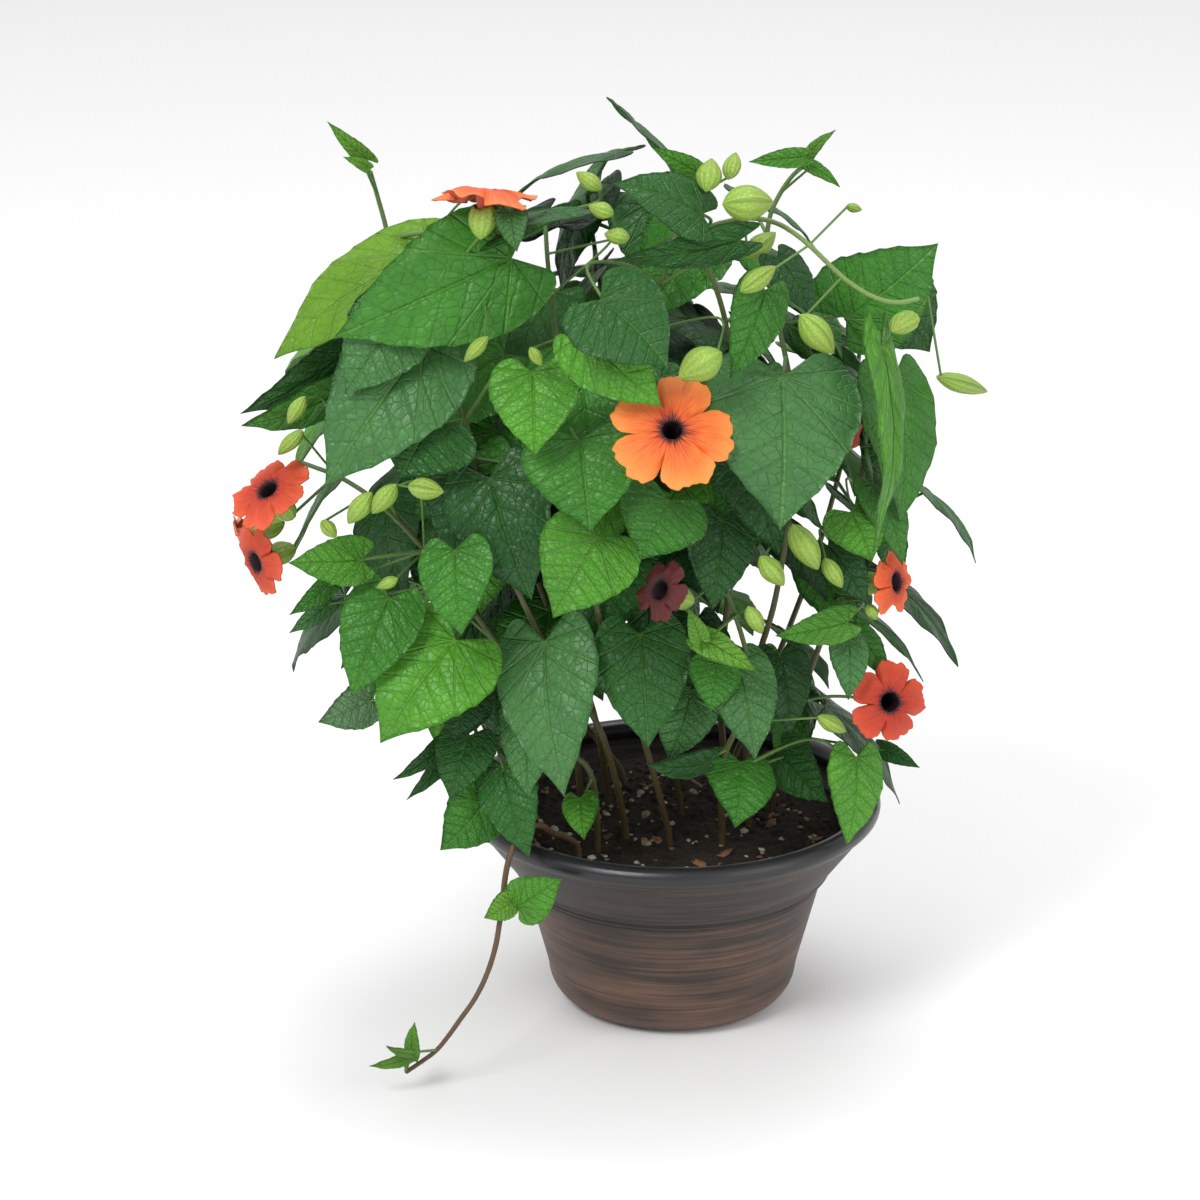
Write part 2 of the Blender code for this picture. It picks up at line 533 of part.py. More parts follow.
def arrange():
    """Everything that grows, by vine: routes, leaves, buds and flowers, each in clear room."""
    routes = stem_routes()
    room = Room()
    grown = {name: {"route": route, "leaves": [], "buds": [], "flowers": []}
             for name, route in routes.items()}
    for name, route in routes.items():
        room.add(route, name)
    view = np.array([0.0, -math.cos(VIEW_TILT), math.sin(VIEW_TILT)])
    missed = []

    for name, (vine, pixel, lift, facing, reach) in FLOWERS.items():
        build = flower_build(name, routes[vine], in_picture(*pixel, lift), facing, reach)
        keep_flower(room, grown, vine, build, missed, name)
    for name, (vine, place, facing, reach) in BACK_FLOWERS.items():
        out = unit((place[0], -place[1], 0.0))
        throat_at = lambda extra, p=place, out=out: np.array([p[0], -p[1], p[2]]) + out * extra
        build = flower_build(name, routes[vine], throat_at, facing, reach)
        keep_flower(room, grown, vine, build, missed, name)

    for name, (vine, base, tip, lift, forward, width, roll) in LEAVES.items():
        middle = crown_front(*base) * 0.5 + crown_front(*tip) * 0.5 + lift
        base_at = lambda extra, b=base, m=middle, f=forward: seen(*b, m + extra - f / 2)
        tip_at = lambda extra, e=tip, m=middle, f=forward: seen(*e, m + extra + f / 2)
        facing_at = lambda at: unit(0.6 * view + 0.4 * unit(at - CROWN_CENTRE))
        build = leaf_build(routes[vine], base_at, tip_at, width, facing_at, roll)
        made = lift_choices(room, vine, build)
        if made is None:
            missed.append(name)
            continue
        made["name"] = name
        grown[vine]["leaves"].append(made)
        room.add(made["samples"], vine)

    for name, (vine, root, tip, lift, thickness) in BUDS.items():
        build = bud_build(routes[vine], in_picture(*root, lift), in_picture(*tip, lift + 3), thickness)
        made = lift_choices(room, vine, build)
        if made is None:
            missed.append(name)
            continue
        made["name"] = name
        grown[vine]["buds"].append(made)
        room.add(made["samples"], vine)
    fill_crown(room, grown, routes)
    return grown, missed


def keep_flower(room, grown, vine, build, missed, name):
    """Place one flower, its corolla as a node of its own and its cup and stalk on the vine."""
    made = lift_choices(room, vine, build)
    if made is None:
        missed.append(name)
        return
    grown[vine]["flowers"].append(made)
    room.add(made["disc"], name)
    room.add(made["green"], vine)


def fill_crown(room, grown, routes):
    """Leaves over the crown's back and sides and inside it, spread evenly by the golden angle."""
    draw = random.Random(FILL_SEED)
    golden = math.pi * (3.0 - math.sqrt(5.0))
    for k in range(FILL_COUNT):
        up = 1.0 - 1.75 * (k + 0.5) / FILL_COUNT
        angle = k * golden
        flat = math.sqrt(max(0.0, 1.0 - up * up))
        way = np.array([math.cos(angle) * flat, math.sin(angle) * flat, up])
        depth = draw.uniform(0.78, 0.98) if way[1] > -0.2 else draw.uniform(0.35, 0.62)
        length = draw.uniform(*FILL_LENGTH)
        swing = draw.uniform(-0.5, 0.5)
        droop = draw.uniform(0.35, 0.9)
        middle = CROWN_CENTRE + CROWN_RADII * way * depth
        out = unit(way * (1.0, 1.0, 0.4))
        across = np.array([-out[1], out[0], 0.0])
        heading = unit(out * 0.55 + across * swing - np.array([0.0, 0.0, droop]))
        facing = unit(out + np.array([0.0, 0.0, 0.7]))
        vine = min(routes, key=lambda v: np.min(np.linalg.norm(routes[v][8:] - middle, axis=1)))
        base_at = lambda extra: middle - heading * length / 2 + out * extra * 0.6
        tip_at = lambda extra: middle + heading * length / 2 + out * extra * 0.6
        width = length * draw.uniform(0.74, 0.92)
        build = leaf_build(routes[vine], base_at, tip_at, width, lambda at: facing, 0.0)
        made = lift_choices(room, vine, build)
        if made is None or room.crowding(made["samples"], vine) > FILL_CROSSINGS:
            continue
        if np.linalg.norm(made["stalk"][0] - made["blade"].base) > FILL_STALK:
            continue
        made["name"] = f"fill_{k:03d}"
        made["blade"].plain = True
        grown[vine]["leaves"].append(made)
        room.add(made["samples"], vine)


# Build the meshes
def clear_scene():
    for thing in list(bpy.data.objects):
        bpy.data.objects.remove(thing, do_unlink=True)


def collection(name):
    made = bpy.data.collections.new(name)
    bpy.context.scene.collection.children.link(made)
    return made


def material(name, colour, roughness, metallic=0.0):
    made = bpy.data.materials.new(name)
    made.use_nodes = True
    shader = made.node_tree.nodes["Principled BSDF"]
    shader.inputs["Base Color"].default_value = (*colour, 1.0)
    shader.inputs["Roughness"].default_value = roughness
    shader.inputs["Metallic"].default_value = metallic
    return made


def add_object(name, mesh, home, finish):
    made = bpy.data.objects.new(name, mesh)
    home.objects.link(made)
    made.data.materials.append(finish)
    return made


def evaluated_mesh(thing):
    graph = bpy.context.evaluated_depsgraph_get()
    return bpy.data.meshes.new_from_object(thing.evaluated_get(graph))


def weld(mesh):
    cage = bmesh.new()
    cage.from_mesh(mesh)
    bmesh.ops.remove_doubles(cage, verts=cage.verts, dist=0.00001)
    bmesh.ops.triangulate(cage, faces=[face for face in cage.faces if len(face.verts) > 3])
    bmesh.ops.recalc_face_normals(cage, faces=cage.faces)
    cage.to_mesh(mesh)
    cage.free()


def rod(name, path, radii, sides, home, finish):
    """A stalk or stem: a curve with a bevel and caps, made a mesh so that it can be joined."""
    curve = bpy.data.curves.new(name, "CURVE")
    curve.dimensions = "3D"
    curve.bevel_depth = MM
    curve.bevel_resolution = (sides - 4) // 2
    curve.use_fill_caps = True
    line = curve.splines.new("POLY")
    line.points.add(len(path) - 1)
    for point, place, radius in zip(line.points, path, radii):
        point.co = (*(np.asarray(place) * MM), 1.0)
        point.radius = radius
    drawn = bpy.data.objects.new(name + "_line", curve)
    home.objects.link(drawn)
    mesh = evaluated_mesh(drawn)
    bpy.data.objects.remove(drawn, do_unlink=True)
    weld(mesh)
    return add_object(name, mesh, home, finish)


def turned(name, profile, sides, home, finish):
    """A round piece: a profile in mm, turned about +Z by a Screw modifier."""
    mesh = bpy.data.meshes.new(name)
    points = [(radius * MM, 0.0, height * MM) for radius, height in profile]
    mesh.from_pydata(points, [(k, k + 1) for k in range(len(points) - 1)], [])
    made = add_object(name, mesh, home, finish)
    screw = made.modifiers.new("turn", "SCREW")
    screw.steps = sides
    screw.render_steps = sides
    screw.use_merge_vertices = True
    screw.merge_threshold = 0.00001
    return made


def solidify(thing, thickness):
    wall = thing.modifiers.new("thickness", "SOLIDIFY")
    wall.thickness = thickness * MM
    wall.offset = 0.0


def fill_hollows(mesh):
    """Drop the shells of sealed hollows and loose scraps, which a union of many blades can leave."""
    cage = bmesh.new()
    cage.from_mesh(mesh)
    waiting = set(cage.faces)
    shells = []
    while waiting:
        shell = [waiting.pop()]
        for face in shell:
            near = {other for edge in face.edges for other in edge.link_faces} & waiting
            waiting -= near
            shell.extend(near)
        centre = shell[0].verts[0].co.copy()
        volume = 0.0
        for face in shell:
            corners = [vert.co - centre for vert in face.verts]
            for b, c in zip(corners[1:-1], corners[2:]):
                volume += corners[0].dot(b.cross(c)) / 6.0
        shells.append((volume, shell))
    largest = max(volume for volume, _shell in shells)
    for volume, shell in shells:
        if volume < largest and volume < SCRAP_VOLUME * MM ** 3:
            bmesh.ops.delete(cage, geom=shell, context="FACES")
    loose = [vert for vert in cage.verts if not vert.link_faces]
    bmesh.ops.delete(cage, geom=loose, context="VERTS")
    cage.to_mesh(mesh)
    cage.free()


def merge_flat(mesh):
    """Fewer triangles where faces lie in one plane, kept only if every edge still has two faces."""
    cage = bmesh.new()
    cage.from_mesh(mesh)
    bmesh.ops.dissolve_limit(cage, angle_limit=math.radians(0.3), verts=cage.verts, edges=cage.edges)
    bmesh.ops.triangulate(cage, faces=cage.faces)
    if all(edge.is_manifold for edge in cage.edges):
        cage.to_mesh(mesh)
    cage.free()


def is_sound(mesh):
    """Whether every edge has two faces and no face cuts through one that it shares no corner with."""
    cage = bmesh.new()
    cage.from_mesh(mesh)
    cage.faces.ensure_lookup_table()
    sound = all(edge.is_manifold for edge in cage.edges)
    tree = BVHTree.FromBMesh(cage, epsilon=0.0)
    for a, b in tree.overlap(tree):
        if a < b and not set(cage.faces[a].verts) & set(cage.faces[b].verts):
            sound = False
    cage.free()
    return sound


def thin_out(thing):
    """Collapse the slivers that a union leaves, by the lowest of a few shares that keeps it sound."""
    for share in COLLAPSE_SHARES:
        fewer = thing.modifiers.new("fewer", "DECIMATE")
        fewer.ratio = share
        mesh = evaluated_mesh(thing)
        thing.modifiers.clear()
        if is_sound(mesh):
            thing.data = mesh
            mesh.name = thing.name
            return


def join_all(base, others, name):
    """One Boolean union of a collection onto a base, applied, with the collection's objects removed."""
    union = base.modifiers.new("join", "BOOLEAN")
    union.operation = "UNION"
    union.operand_type = "COLLECTION"
    union.collection = others
    union.solver = "MANIFOLD"
    mesh = evaluated_mesh(base)
    base.modifiers.clear()
    fill_hollows(mesh)
    merge_flat(mesh)
    for thing in list(others.objects):
        bpy.data.objects.remove(thing, do_unlink=True)
    bpy.data.collections.remove(others)
    base.data = mesh
    base.name = name
    mesh.name = name
    return base


def blade_mesh(name, blade, home, finish):
    """A blade: its outline and midrib triangulated flat, then bent. Solidify gives its thickness."""
    half, midrib = (SMALL_HALF_OUTLINE, SMALL_MIDRIB) if blade.plain else (HALF_OUTLINE, MIDRIB)
    flat = [(0.0, 0.0)] + half + [(1.0, 0.0)] + [(t, -s) for t, s in reversed(half)]
    rim = len(flat)
    flat += [(t, 0.0) for t in midrib]
    edges = [(k, (k + 1) % rim) for k in range(rim)]
    tip = len(half) + 1
    spine = [0] + list(range(rim, rim + len(midrib))) + [tip]
    edges += list(zip(spine[:-1], spine[1:]))
    plane = [Vector((t * blade.length, s * blade.half)) for t, s in flat]
    found = geometry.delaunay_2d_cdt(plane, edges, [], 1, 0.0001)
    t = np.array([point.x / blade.length for point in found[0]])
    s = np.array([point.y / blade.half for point in found[0]])
    mesh = bpy.data.meshes.new(name)
    mesh.from_pydata((blade.at(t, s) * MM).tolist(), [], found[2])
    made = add_object(name, mesh, home, finish)
    solidify(made, BLADE_THICKNESS)
    return made


def bud_mesh(name, bud, home, finish):
    """A bud in its bracts: a ball of a few faces drawn out to a point and flattened a little."""
    cage = bmesh.new()
    bmesh.ops.create_uvsphere(cage, u_segments=5, v_segments=4, radius=1.0)
    axis = bud["tip"] - bud["root"]
    length = float(np.linalg.norm(axis))
    turn = Vector(unit(axis)).to_track_quat("Z", "Y").to_matrix()
    for vert in cage.verts:
        along = vert.co.z
        swell = 1.0 - 0.25 * along
        local = Vector((vert.co.x * bud["thickness"] * 0.5 * swell,
                        vert.co.y * bud["thickness"] * 0.42 * swell, (along + 1.0) * length * 0.5))
        vert.co = (Vector(bud["root"]) + turn @ local) * MM
    bmesh.ops.triangulate(cage, faces=cage.faces)
    mesh = bpy.data.meshes.new(name)
    cage.to_mesh(mesh)
    cage.free()
    return add_object(name, mesh, home, finish)


def cup_mesh(name, flower, home, finish):
    """The cup of bracts behind a corolla: turned, with a plain hole for the corolla's tube."""
    length = CUP_BACK - CUP_FRONT
    profile = [(0.0, CUP_FLOOR), (CUP_BORE, CUP_FLOOR), (CUP_BORE, length), (CUP_RADIUS - 0.2, length)]
    profile += [(CUP_RADIUS, length * 0.5), (CUP_HEEL, 1.0), (0.0, -0.6)]
    made = turned(name, profile, CUP_SIDES, home, finish)
    mesh = evaluated_mesh(made)
    made.modifiers.clear()
    made.data = mesh
    turn = Vector(flower["facing"]).to_track_quat("Z", "Y").to_matrix().to_4x4()
    heel = Vector((flower["throat"] - flower["facing"] * CUP_BACK) * MM)
    mesh.transform(Matrix.Translation(heel) @ turn)
    weld(mesh)
    return made


def corolla_rings(flower):
    """Rings of points of a corolla, from the end of its tube to the edge of its five lobes."""
    rings = []
    for back, radius in ((TUBE_REACH, TUBE_RADIUS), (0.0, THROAT_RADIUS)):
        rings.append([(radius, -back)] * (3 * LOBES))
    edge = []
    for lobe in range(LOBES):
        edge += [(0.66, 1.5), (1.0, 0.0), (0.96, -1.0)]
    rings.append([(reach * flower["reach"], forward) for reach, forward in edge])
    found = []
    for ring in rings:
        for k, (radius, forward) in enumerate(ring):
            lobe, part = divmod(k, 3)
            angle = 2 * math.pi * (lobe + (0.0, 0.3, 0.7)[part]) / LOBES
            out = flower["side"] * math.cos(angle) + flower["over"] * math.sin(angle)
            found.append(flower["throat"] + out * radius + flower["facing"] * forward)
    return np.array(found), len(rings), 3 * LOBES


def corolla_mesh(flower, home, finish):
    """A corolla: rings joined in triangles, closed at the end of the tube, thickened."""
    points, rings, around = corolla_rings(flower)
    end = flower["throat"] - flower["facing"] * TUBE_REACH
    points = np.vstack([points, end])
    faces = []
    for ring in range(rings - 1):
        for k in range(around):
            a = ring * around + k
            b = ring * around + (k + 1) % around
            faces += [(a, b, b + around), (a, b + around, a + around)]
    faces += [(len(points) - 1, (k + 1) % around, k) for k in range(around)]
    mesh = bpy.data.meshes.new(flower["name"])
    mesh.from_pydata((points * MM).tolist(), [], faces)
    made = add_object(flower["name"], mesh, home, finish)
    solidify(made, BLADE_THICKNESS)
    return made


def build_pot(home, finish):
    """The pot: a rolled rim over a flared band, a step, a tapered body and drain holes."""
    roll_out = RIM_RADIUS - ROLL_RADIUS
    roll_up = POT_HEIGHT - ROLL_RADIUS
    roll_foot = roll_up - ROLL_RADIUS * 0.95
    roll = [(roll_out + ROLL_RADIUS * math.cos(math.radians(a)),
             roll_up + ROLL_RADIUS * math.sin(math.radians(a))) for a in ROLL_ANGLES]
    inner = [(0.0, POT_WALL), (FOOT_RADIUS, POT_WALL),
             (BODY_FOOT_RADIUS - POT_WALL, BODY_FOOT_HEIGHT),
             (BODY_TOP_RADIUS - POT_WALL, BAND_FOOT_HEIGHT),
             (BAND_TOP_RADIUS - 2.6 * POT_WALL, roll_foot)]
    corner = BODY_FOOT_RADIUS - FOOT_RADIUS
    outer = [(BAND_TOP_RADIUS - 1.0, roll_foot), (BAND_FOOT_RADIUS, BAND_FOOT_HEIGHT),
             (BODY_TOP_RADIUS, BAND_FOOT_HEIGHT - POT_STEP), (BODY_FOOT_RADIUS, BODY_FOOT_HEIGHT)]
    outer += [(FOOT_RADIUS + corner * math.cos(math.radians(a)),
               BODY_FOOT_HEIGHT * (1.0 - math.sin(math.radians(a)))) for a in (30, 60, 90)]
    return turned("pot", inner + roll + outer + [(0.0, 0.0)], POT_SIDES, home, finish)


def drain_cutters(pot, cutters, finish):
    """Round holes through the pot's floor, in a ring."""
    for k in range(DRAIN_HOLES):
        angle = 2 * math.pi * (k + 0.5) / DRAIN_HOLES
        bpy.ops.mesh.primitive_cylinder_add(vertices=DRAIN_SIDES, radius=DRAIN_RADIUS * MM,
                                            depth=DRAIN_DEPTH * MM)
        cutter = bpy.context.object
        cutter.name = f"drain_{k}"
        cutter.location = (DRAIN_PLACE * math.cos(angle) * MM, DRAIN_PLACE * math.sin(angle) * MM, 0.0)
        for old in list(cutter.users_collection):
            old.objects.unlink(cutter)
        cutters.objects.link(cutter)
        cutter.hide_render = True
        cutter.display_type = "WIRE"
        cut = pot.modifiers.new(cutter.name, "BOOLEAN")
        cut.operation = "DIFFERENCE"
        cut.object = cutter


def soil_grains(feet):
    """Seeded places, sizes and stretches of the grains and bark chips on the soil, clear of stems."""
    draw = random.Random(7)
    grains = []
    while len(grains) < GRAIN_COUNT:
        radius = GRAIN_REACH * math.sqrt(draw.random())
        angle = draw.uniform(0, 2 * math.pi)
        size = draw.uniform(*GRAIN_SIZES)
        long = draw.choice((1.0, 1.0, 1.0, BARK_STRETCH))
        place = np.array([radius * math.cos(angle), radius * math.sin(angle)])
        turn = draw.uniform(0, math.pi)
        apart = [np.linalg.norm(place - foot) for foot in feet]
        apart += [np.linalg.norm(place - grain[0]) - GRAIN_SIZES[1] for grain in grains]
        if min(apart) > GRAIN_ROOM:
            grains.append((place, size, long, turn))
    return grains


def build_soil(home, finish, routes):
    """The soil: it fills the pot up to below the rim, uneven on top, with a hole for each stem."""
    feet = [route[0][:2] for route in routes.values()]
    gap = FIT_GAP * 2
    rings = [(radius, SOIL_HEIGHT + rise) for radius, rise in SOIL_TOP]
    side = [(BODY_TOP_RADIUS - POT_WALL - gap, BAND_FOOT_HEIGHT - FIT_GAP),
            (BODY_FOOT_RADIUS - POT_WALL - FIT_GAP, BODY_FOOT_HEIGHT),
            (FOOT_RADIUS - gap, POT_WALL + FIT_GAP), (0.0, POT_WALL + FIT_GAP)]
    soil = turned("soil", rings + side, SOIL_SIDES, home, finish)
    mesh = evaluated_mesh(soil)
    soil.modifiers.clear()
    soil.data = mesh
    draw = random.Random(3)
    for vert in mesh.vertices:
        if vert.co.z > (SOIL_HEIGHT - 1.1) * MM:
            vert.co.z += draw.uniform(-SOIL_UNEVEN, SOIL_UNEVEN) * MM
    weld(mesh)
    grains = collection("soil_grains")
    for place, size, long, turn in soil_grains(feet):
        bpy.ops.mesh.primitive_ico_sphere_add(subdivisions=1, radius=size * MM)
        grain = bpy.context.object
        for old in list(grain.users_collection):
            old.objects.unlink(grain)
        grains.objects.link(grain)
        spin = Matrix.Rotation(turn, 4, "Z") @ Matrix.Diagonal((long, 1.0, 0.8, 1.0))
        at = Vector((place[0] * MM, place[1] * MM, (SOIL_HEIGHT - SOIL_UNEVEN) * MM))
        grain.data.transform(Matrix.Translation(at) @ spin)
    soil = join_all(soil, grains, "soil")
    holes = collection("stem_holes")
    for x, y in feet:
        bpy.ops.mesh.primitive_cylinder_add(vertices=HOLE_SIDES, radius=(STEM_RADIUS + HOLE_GAP) * MM,
                                            depth=HOLE_DEPTH * MM)
        hole = bpy.context.object
        for old in list(hole.users_collection):
            old.objects.unlink(hole)
        holes.objects.link(hole)
        hole.data.transform(Matrix.Translation((x * MM, y * MM, (SOIL_HEIGHT + 3) * MM)))
    cut = soil.modifiers.new("holes", "BOOLEAN")
    cut.operation = "DIFFERENCE"
    cut.operand_type = "COLLECTION"
    cut.collection = holes
    cut.solver = "MANIFOLD"
    mesh = evaluated_mesh(soil)
    soil.modifiers.clear()
    soil.data = mesh
    for thing in list(holes.objects):
        bpy.data.objects.remove(thing, do_unlink=True)
    bpy.data.collections.remove(holes)
    return soil


def build_vine(name, grown, home, finish):
    """One leafy vine: its stem with every stalk, leaf, bud and cup of bracts joined to it."""
    route = grown["route"]
    coarse = stem_nodes(route)
    radii = np.linspace(STEM_RADIUS, STEM_RADIUS * 0.7, len(coarse))
    stem = rod(name + "_stem", coarse, radii, 4, home, finish)
    others = collection(name + "_pieces")
    for leaf in grown["leaves"]:
        thin = STALK_RADIUS if leaf["blade"].length > 25 else STALK_RADIUS * 0.75
        rod(leaf["name"] + "_stalk", leaf["stalk"], [thin] * len(leaf["stalk"]), 4, others, finish)
        blade_mesh(leaf["name"], leaf["blade"], others, finish)
    for bud in grown["buds"]:
        rod(bud["name"] + "_bud_stalk", bud["stalk"], [STALK_RADIUS * 0.8] * len(bud["stalk"]), 4,
            others, finish)
        bud_mesh(bud["name"] + "_bud", bud, others, finish)
    for flower in grown["flowers"]:
        rod(flower["name"] + "_stalk", flower["stalk"], [STALK_RADIUS] * len(flower["stalk"]), 4,
            others, finish)
        cup_mesh(flower["name"] + "_cup", flower, others, finish)
    vine = join_all(stem, others, name)
    thin_out(vine)


def main():
    clear_scene()
    home = collection("black_eyed_susan_vine")
    cutters = collection("cutters")
    plastic = material("pot_plastic", (0.10, 0.075, 0.06), 0.45)
    earth = material("soil", (0.05, 0.035, 0.025), 0.95)
    leafy = material("leaf", (0.10, 0.24, 0.07), 0.45)
    petal = material("petal", (0.85, 0.20, 0.05), 0.5)
    grown, _missed = arrange()
    pot = build_pot(home, plastic)
    drain_cutters(pot, cutters, plastic)
    build_soil(home, earth, {name: vine["route"] for name, vine in grown.items()})
    for name, vine in grown.items():
        build_vine(name, vine, home, leafy)
        for flower in vine["flowers"]:
            corolla_mesh(flower, home, petal)


main()
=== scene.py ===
import math
import random

import bpy
import numpy as np
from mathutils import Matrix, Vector


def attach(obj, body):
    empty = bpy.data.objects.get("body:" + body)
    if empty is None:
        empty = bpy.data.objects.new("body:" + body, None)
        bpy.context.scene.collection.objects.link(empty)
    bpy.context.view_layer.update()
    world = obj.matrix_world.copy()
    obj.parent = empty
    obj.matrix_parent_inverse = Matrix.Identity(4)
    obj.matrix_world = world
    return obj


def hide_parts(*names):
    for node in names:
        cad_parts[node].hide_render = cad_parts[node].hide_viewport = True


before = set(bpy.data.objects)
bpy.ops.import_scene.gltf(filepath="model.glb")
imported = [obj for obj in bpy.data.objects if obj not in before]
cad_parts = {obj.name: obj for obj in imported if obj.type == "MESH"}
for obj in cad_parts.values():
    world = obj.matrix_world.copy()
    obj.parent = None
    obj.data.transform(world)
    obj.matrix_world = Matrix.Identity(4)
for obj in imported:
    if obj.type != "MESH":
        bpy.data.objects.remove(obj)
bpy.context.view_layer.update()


# The pot: an azalea pan moulded in brown-black plastic, with a rolled rim over a flared band, a
# double groove where the band meets the tapered body, and a rounded foot. Sizes are in mm.
MM = 0.001
POT_HEIGHT = 87.0
RIM_RADIUS = 82.5
ROLL_RADIUS = 4.2
BAND_FOOT_RADIUS = 62.0
BAND_FOOT_HEIGHT = 55.0
BODY_TOP_RADIUS = 59.2
BODY_FOOT_RADIUS = 49.5
BODY_FOOT_HEIGHT = 15.0
FOOT_RADIUS = 35.0
POT_WALL = 1.6
POT_AROUND = 180
# The lip inside the roll as (radius, height), and the heights where the plastic's looks change
INNER_LIP = (76.3, 79.2)
ROLL_LOW = 79.5
GROOVE_LOW = 53.5
AXIS_HOLE = 0.5
# The rounds of the double groove: out from the body and up from the band's foot, radius, degrees
# that the round turns from and to, points
GROOVE_ROUNDS = [(2.9, 1.4, 0.9, 30, -70, 5), (1.3, -0.2, 0.5, 110, 250, 5),
                 (0.6, -1.6, 0.8, 60, -60, 5), (0.1, -3.0, 0.4, 110, 250, 4)]
GROOVE_DEPTH = 3.8


class Sum:
    """A shader socket that sums are written with: each operator adds one Math node."""

    def __init__(self, tree, socket):
        self.tree = tree
        self.socket = socket

    def math(self, operation, *others):
        node = self.tree.nodes.new("ShaderNodeMath")
        node.operation = operation
        for slot, value in zip(node.inputs, (self, *others)):
            if isinstance(value, Sum):
                self.tree.links.new(value.socket, slot)
            else:
                slot.default_value = value
        return Sum(self.tree, node.outputs[0])

    def __add__(self, other):
        return self.math("ADD", other)

    def __mul__(self, other):
        return self.math("MULTIPLY", other)

    def __sub__(self, other):
        return self.math("SUBTRACT", other)

    def __rsub__(self, other):
        return (self * -1.0).math("ADD", other)

    def __truediv__(self, other):
        return self.math("DIVIDE", other)

    __radd__ = __add__
    __rmul__ = __mul__

    def clamp(self):
        held = self.math("MAXIMUM", 0.0)
        return held.math("MINIMUM", 1.0)


class Finish:
    """One material. Its add method makes any node from a type, settings and socket values."""

    def __init__(self, name, **values):
        self.material = bpy.data.materials.new(name)
        self.material.use_nodes = True
        self.tree = self.material.node_tree
        self.shader = self.tree.nodes["Principled BSDF"]
        for key, value in values.items():
            self.shader.inputs[key.replace("_", " ")].default_value = value

    def add(self, kind, settings=None, inputs=None, out=0):
        node = self.tree.nodes.new("ShaderNode" + kind)
        for key, value in (settings or {}).items():
            setattr(node, key, value)
        for key, value in (inputs or {}).items():
            if isinstance(value, Sum):
                self.tree.links.new(value.socket, node.inputs[key])
            else:
                node.inputs[key].default_value = value
        return Sum(self.tree, node.outputs[out])

    def blend(self, share, first, second, mode="MIX"):
        """Two colours mixed by a share. Plain colours are given as three numbers."""
        pair = [(*c, 1.0) if isinstance(c, tuple) else c for c in (first, second)]
        settings = {"data_type": "RGBA", "blend_type": mode}
        return self.add("Mix", settings, {0: share, 6: pair[0], 7: pair[1]}, out=2)

    def split(self, vector):
        """The x, y and z of a vector."""
        first = self.add("SeparateXYZ", None, {0: vector})
        return [Sum(self.tree, socket) for socket in first.socket.node.outputs]

    def send(self, name, value):
        self.tree.links.new(value.socket, self.shader.inputs[name])

    def bump(self, height, distance, strength=1.0):
        inputs = {"Height": height, "Distance": distance, "Strength": strength}
        self.send("Normal", self.add("Bump", None, inputs))


def grid_faces(rows, columns, start=0, closed=False):
    """The four-sided faces of a grid of points, row by row, its columns closed into a ring or not."""
    across = columns if closed else columns - 1
    row, column = np.meshgrid(np.arange(rows - 1), np.arange(across), indexing="ij")
    right = (column + 1) % columns
    a = start + row * columns + column
    b = start + row * columns + right
    return np.stack([a, b, b + columns, a + columns], axis=-1).reshape(-1, 4)


class Skin:
    """Points, faces, pattern places, tones and finishes gathered into one mesh."""

    def __init__(self):
        self.points, self.faces, self.places, self.tones, self.finishes = [], [], [], [], []
        self.count = 0

    def put(self, points, faces, places=None, tone=(0.5, 0.5, 0.5), finish=0):
        count = len(points)
        self.points.append(points)
        self.faces.append(faces + self.count)
        self.places.append(np.zeros((count, 2)) if places is None else places)
        self.tones.append(np.broadcast_to(np.asarray(tone, dtype=float), (count, 3)))
        self.finishes.append(np.full(len(faces), finish))
        self.count += count

    def piece(self, name, materials):
        """The mesh object at the origin, smooth, with its pattern places as UVs and its tones."""
        points = np.vstack(self.points) * MM
        faces = np.vstack(self.faces)
        mesh = bpy.data.meshes.new(name)
        mesh.vertices.add(len(points))
        mesh.vertices.foreach_set("co", points.astype(np.float32).ravel())
        triangle = faces[:, 3] == faces[:, 2]
        sizes = np.where(triangle, 3, 4)
        corners = faces[np.arange(4)[None, :] < sizes[:, None]]
        mesh.loops.add(len(corners))
        mesh.loops.foreach_set("vertex_index", corners.astype(np.int32))
        mesh.polygons.add(len(faces))
        starts = np.concatenate([[0], np.cumsum(sizes)[:-1]])
        mesh.polygons.foreach_set("loop_start", starts.astype(np.int32))
        mesh.polygons.foreach_set("material_index", np.concatenate(self.finishes).astype(np.int32))
        mesh.update(calc_edges=True)
        places = mesh.uv_layers.new(name="pattern")
        places.data.foreach_set("uv", np.vstack(self.places)[corners].astype(np.float32).ravel())
        tones = mesh.color_attributes.new("tone", "FLOAT_COLOR", "POINT")
        colours = np.hstack([np.vstack(self.tones), np.ones((len(points), 1))])
        tones.data.foreach_set("color", colours.astype(np.float32).ravel())
        mesh.shade_smooth()
        for finish in materials:
            mesh.materials.append(finish.material)
        made = bpy.data.objects.new(name, mesh)
        bpy.context.scene.collection.objects.link(made)
        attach(made, "root")
        return made


def turned_surface(profile, around):
    """A profile of (radius, height) pairs carried round +Z: a point is (r cos a, r sin a, z)."""
    profile = np.array(profile)
    angle = np.linspace(0, 2 * math.pi, around, endpoint=False)
    x = np.outer(profile[:, 0], np.cos(angle))
    y = np.outer(profile[:, 0], np.sin(angle))
    z = np.repeat(profile[:, 1:2], around, axis=1)
    return np.stack([x, y, z], axis=-1).reshape(-1, 3)


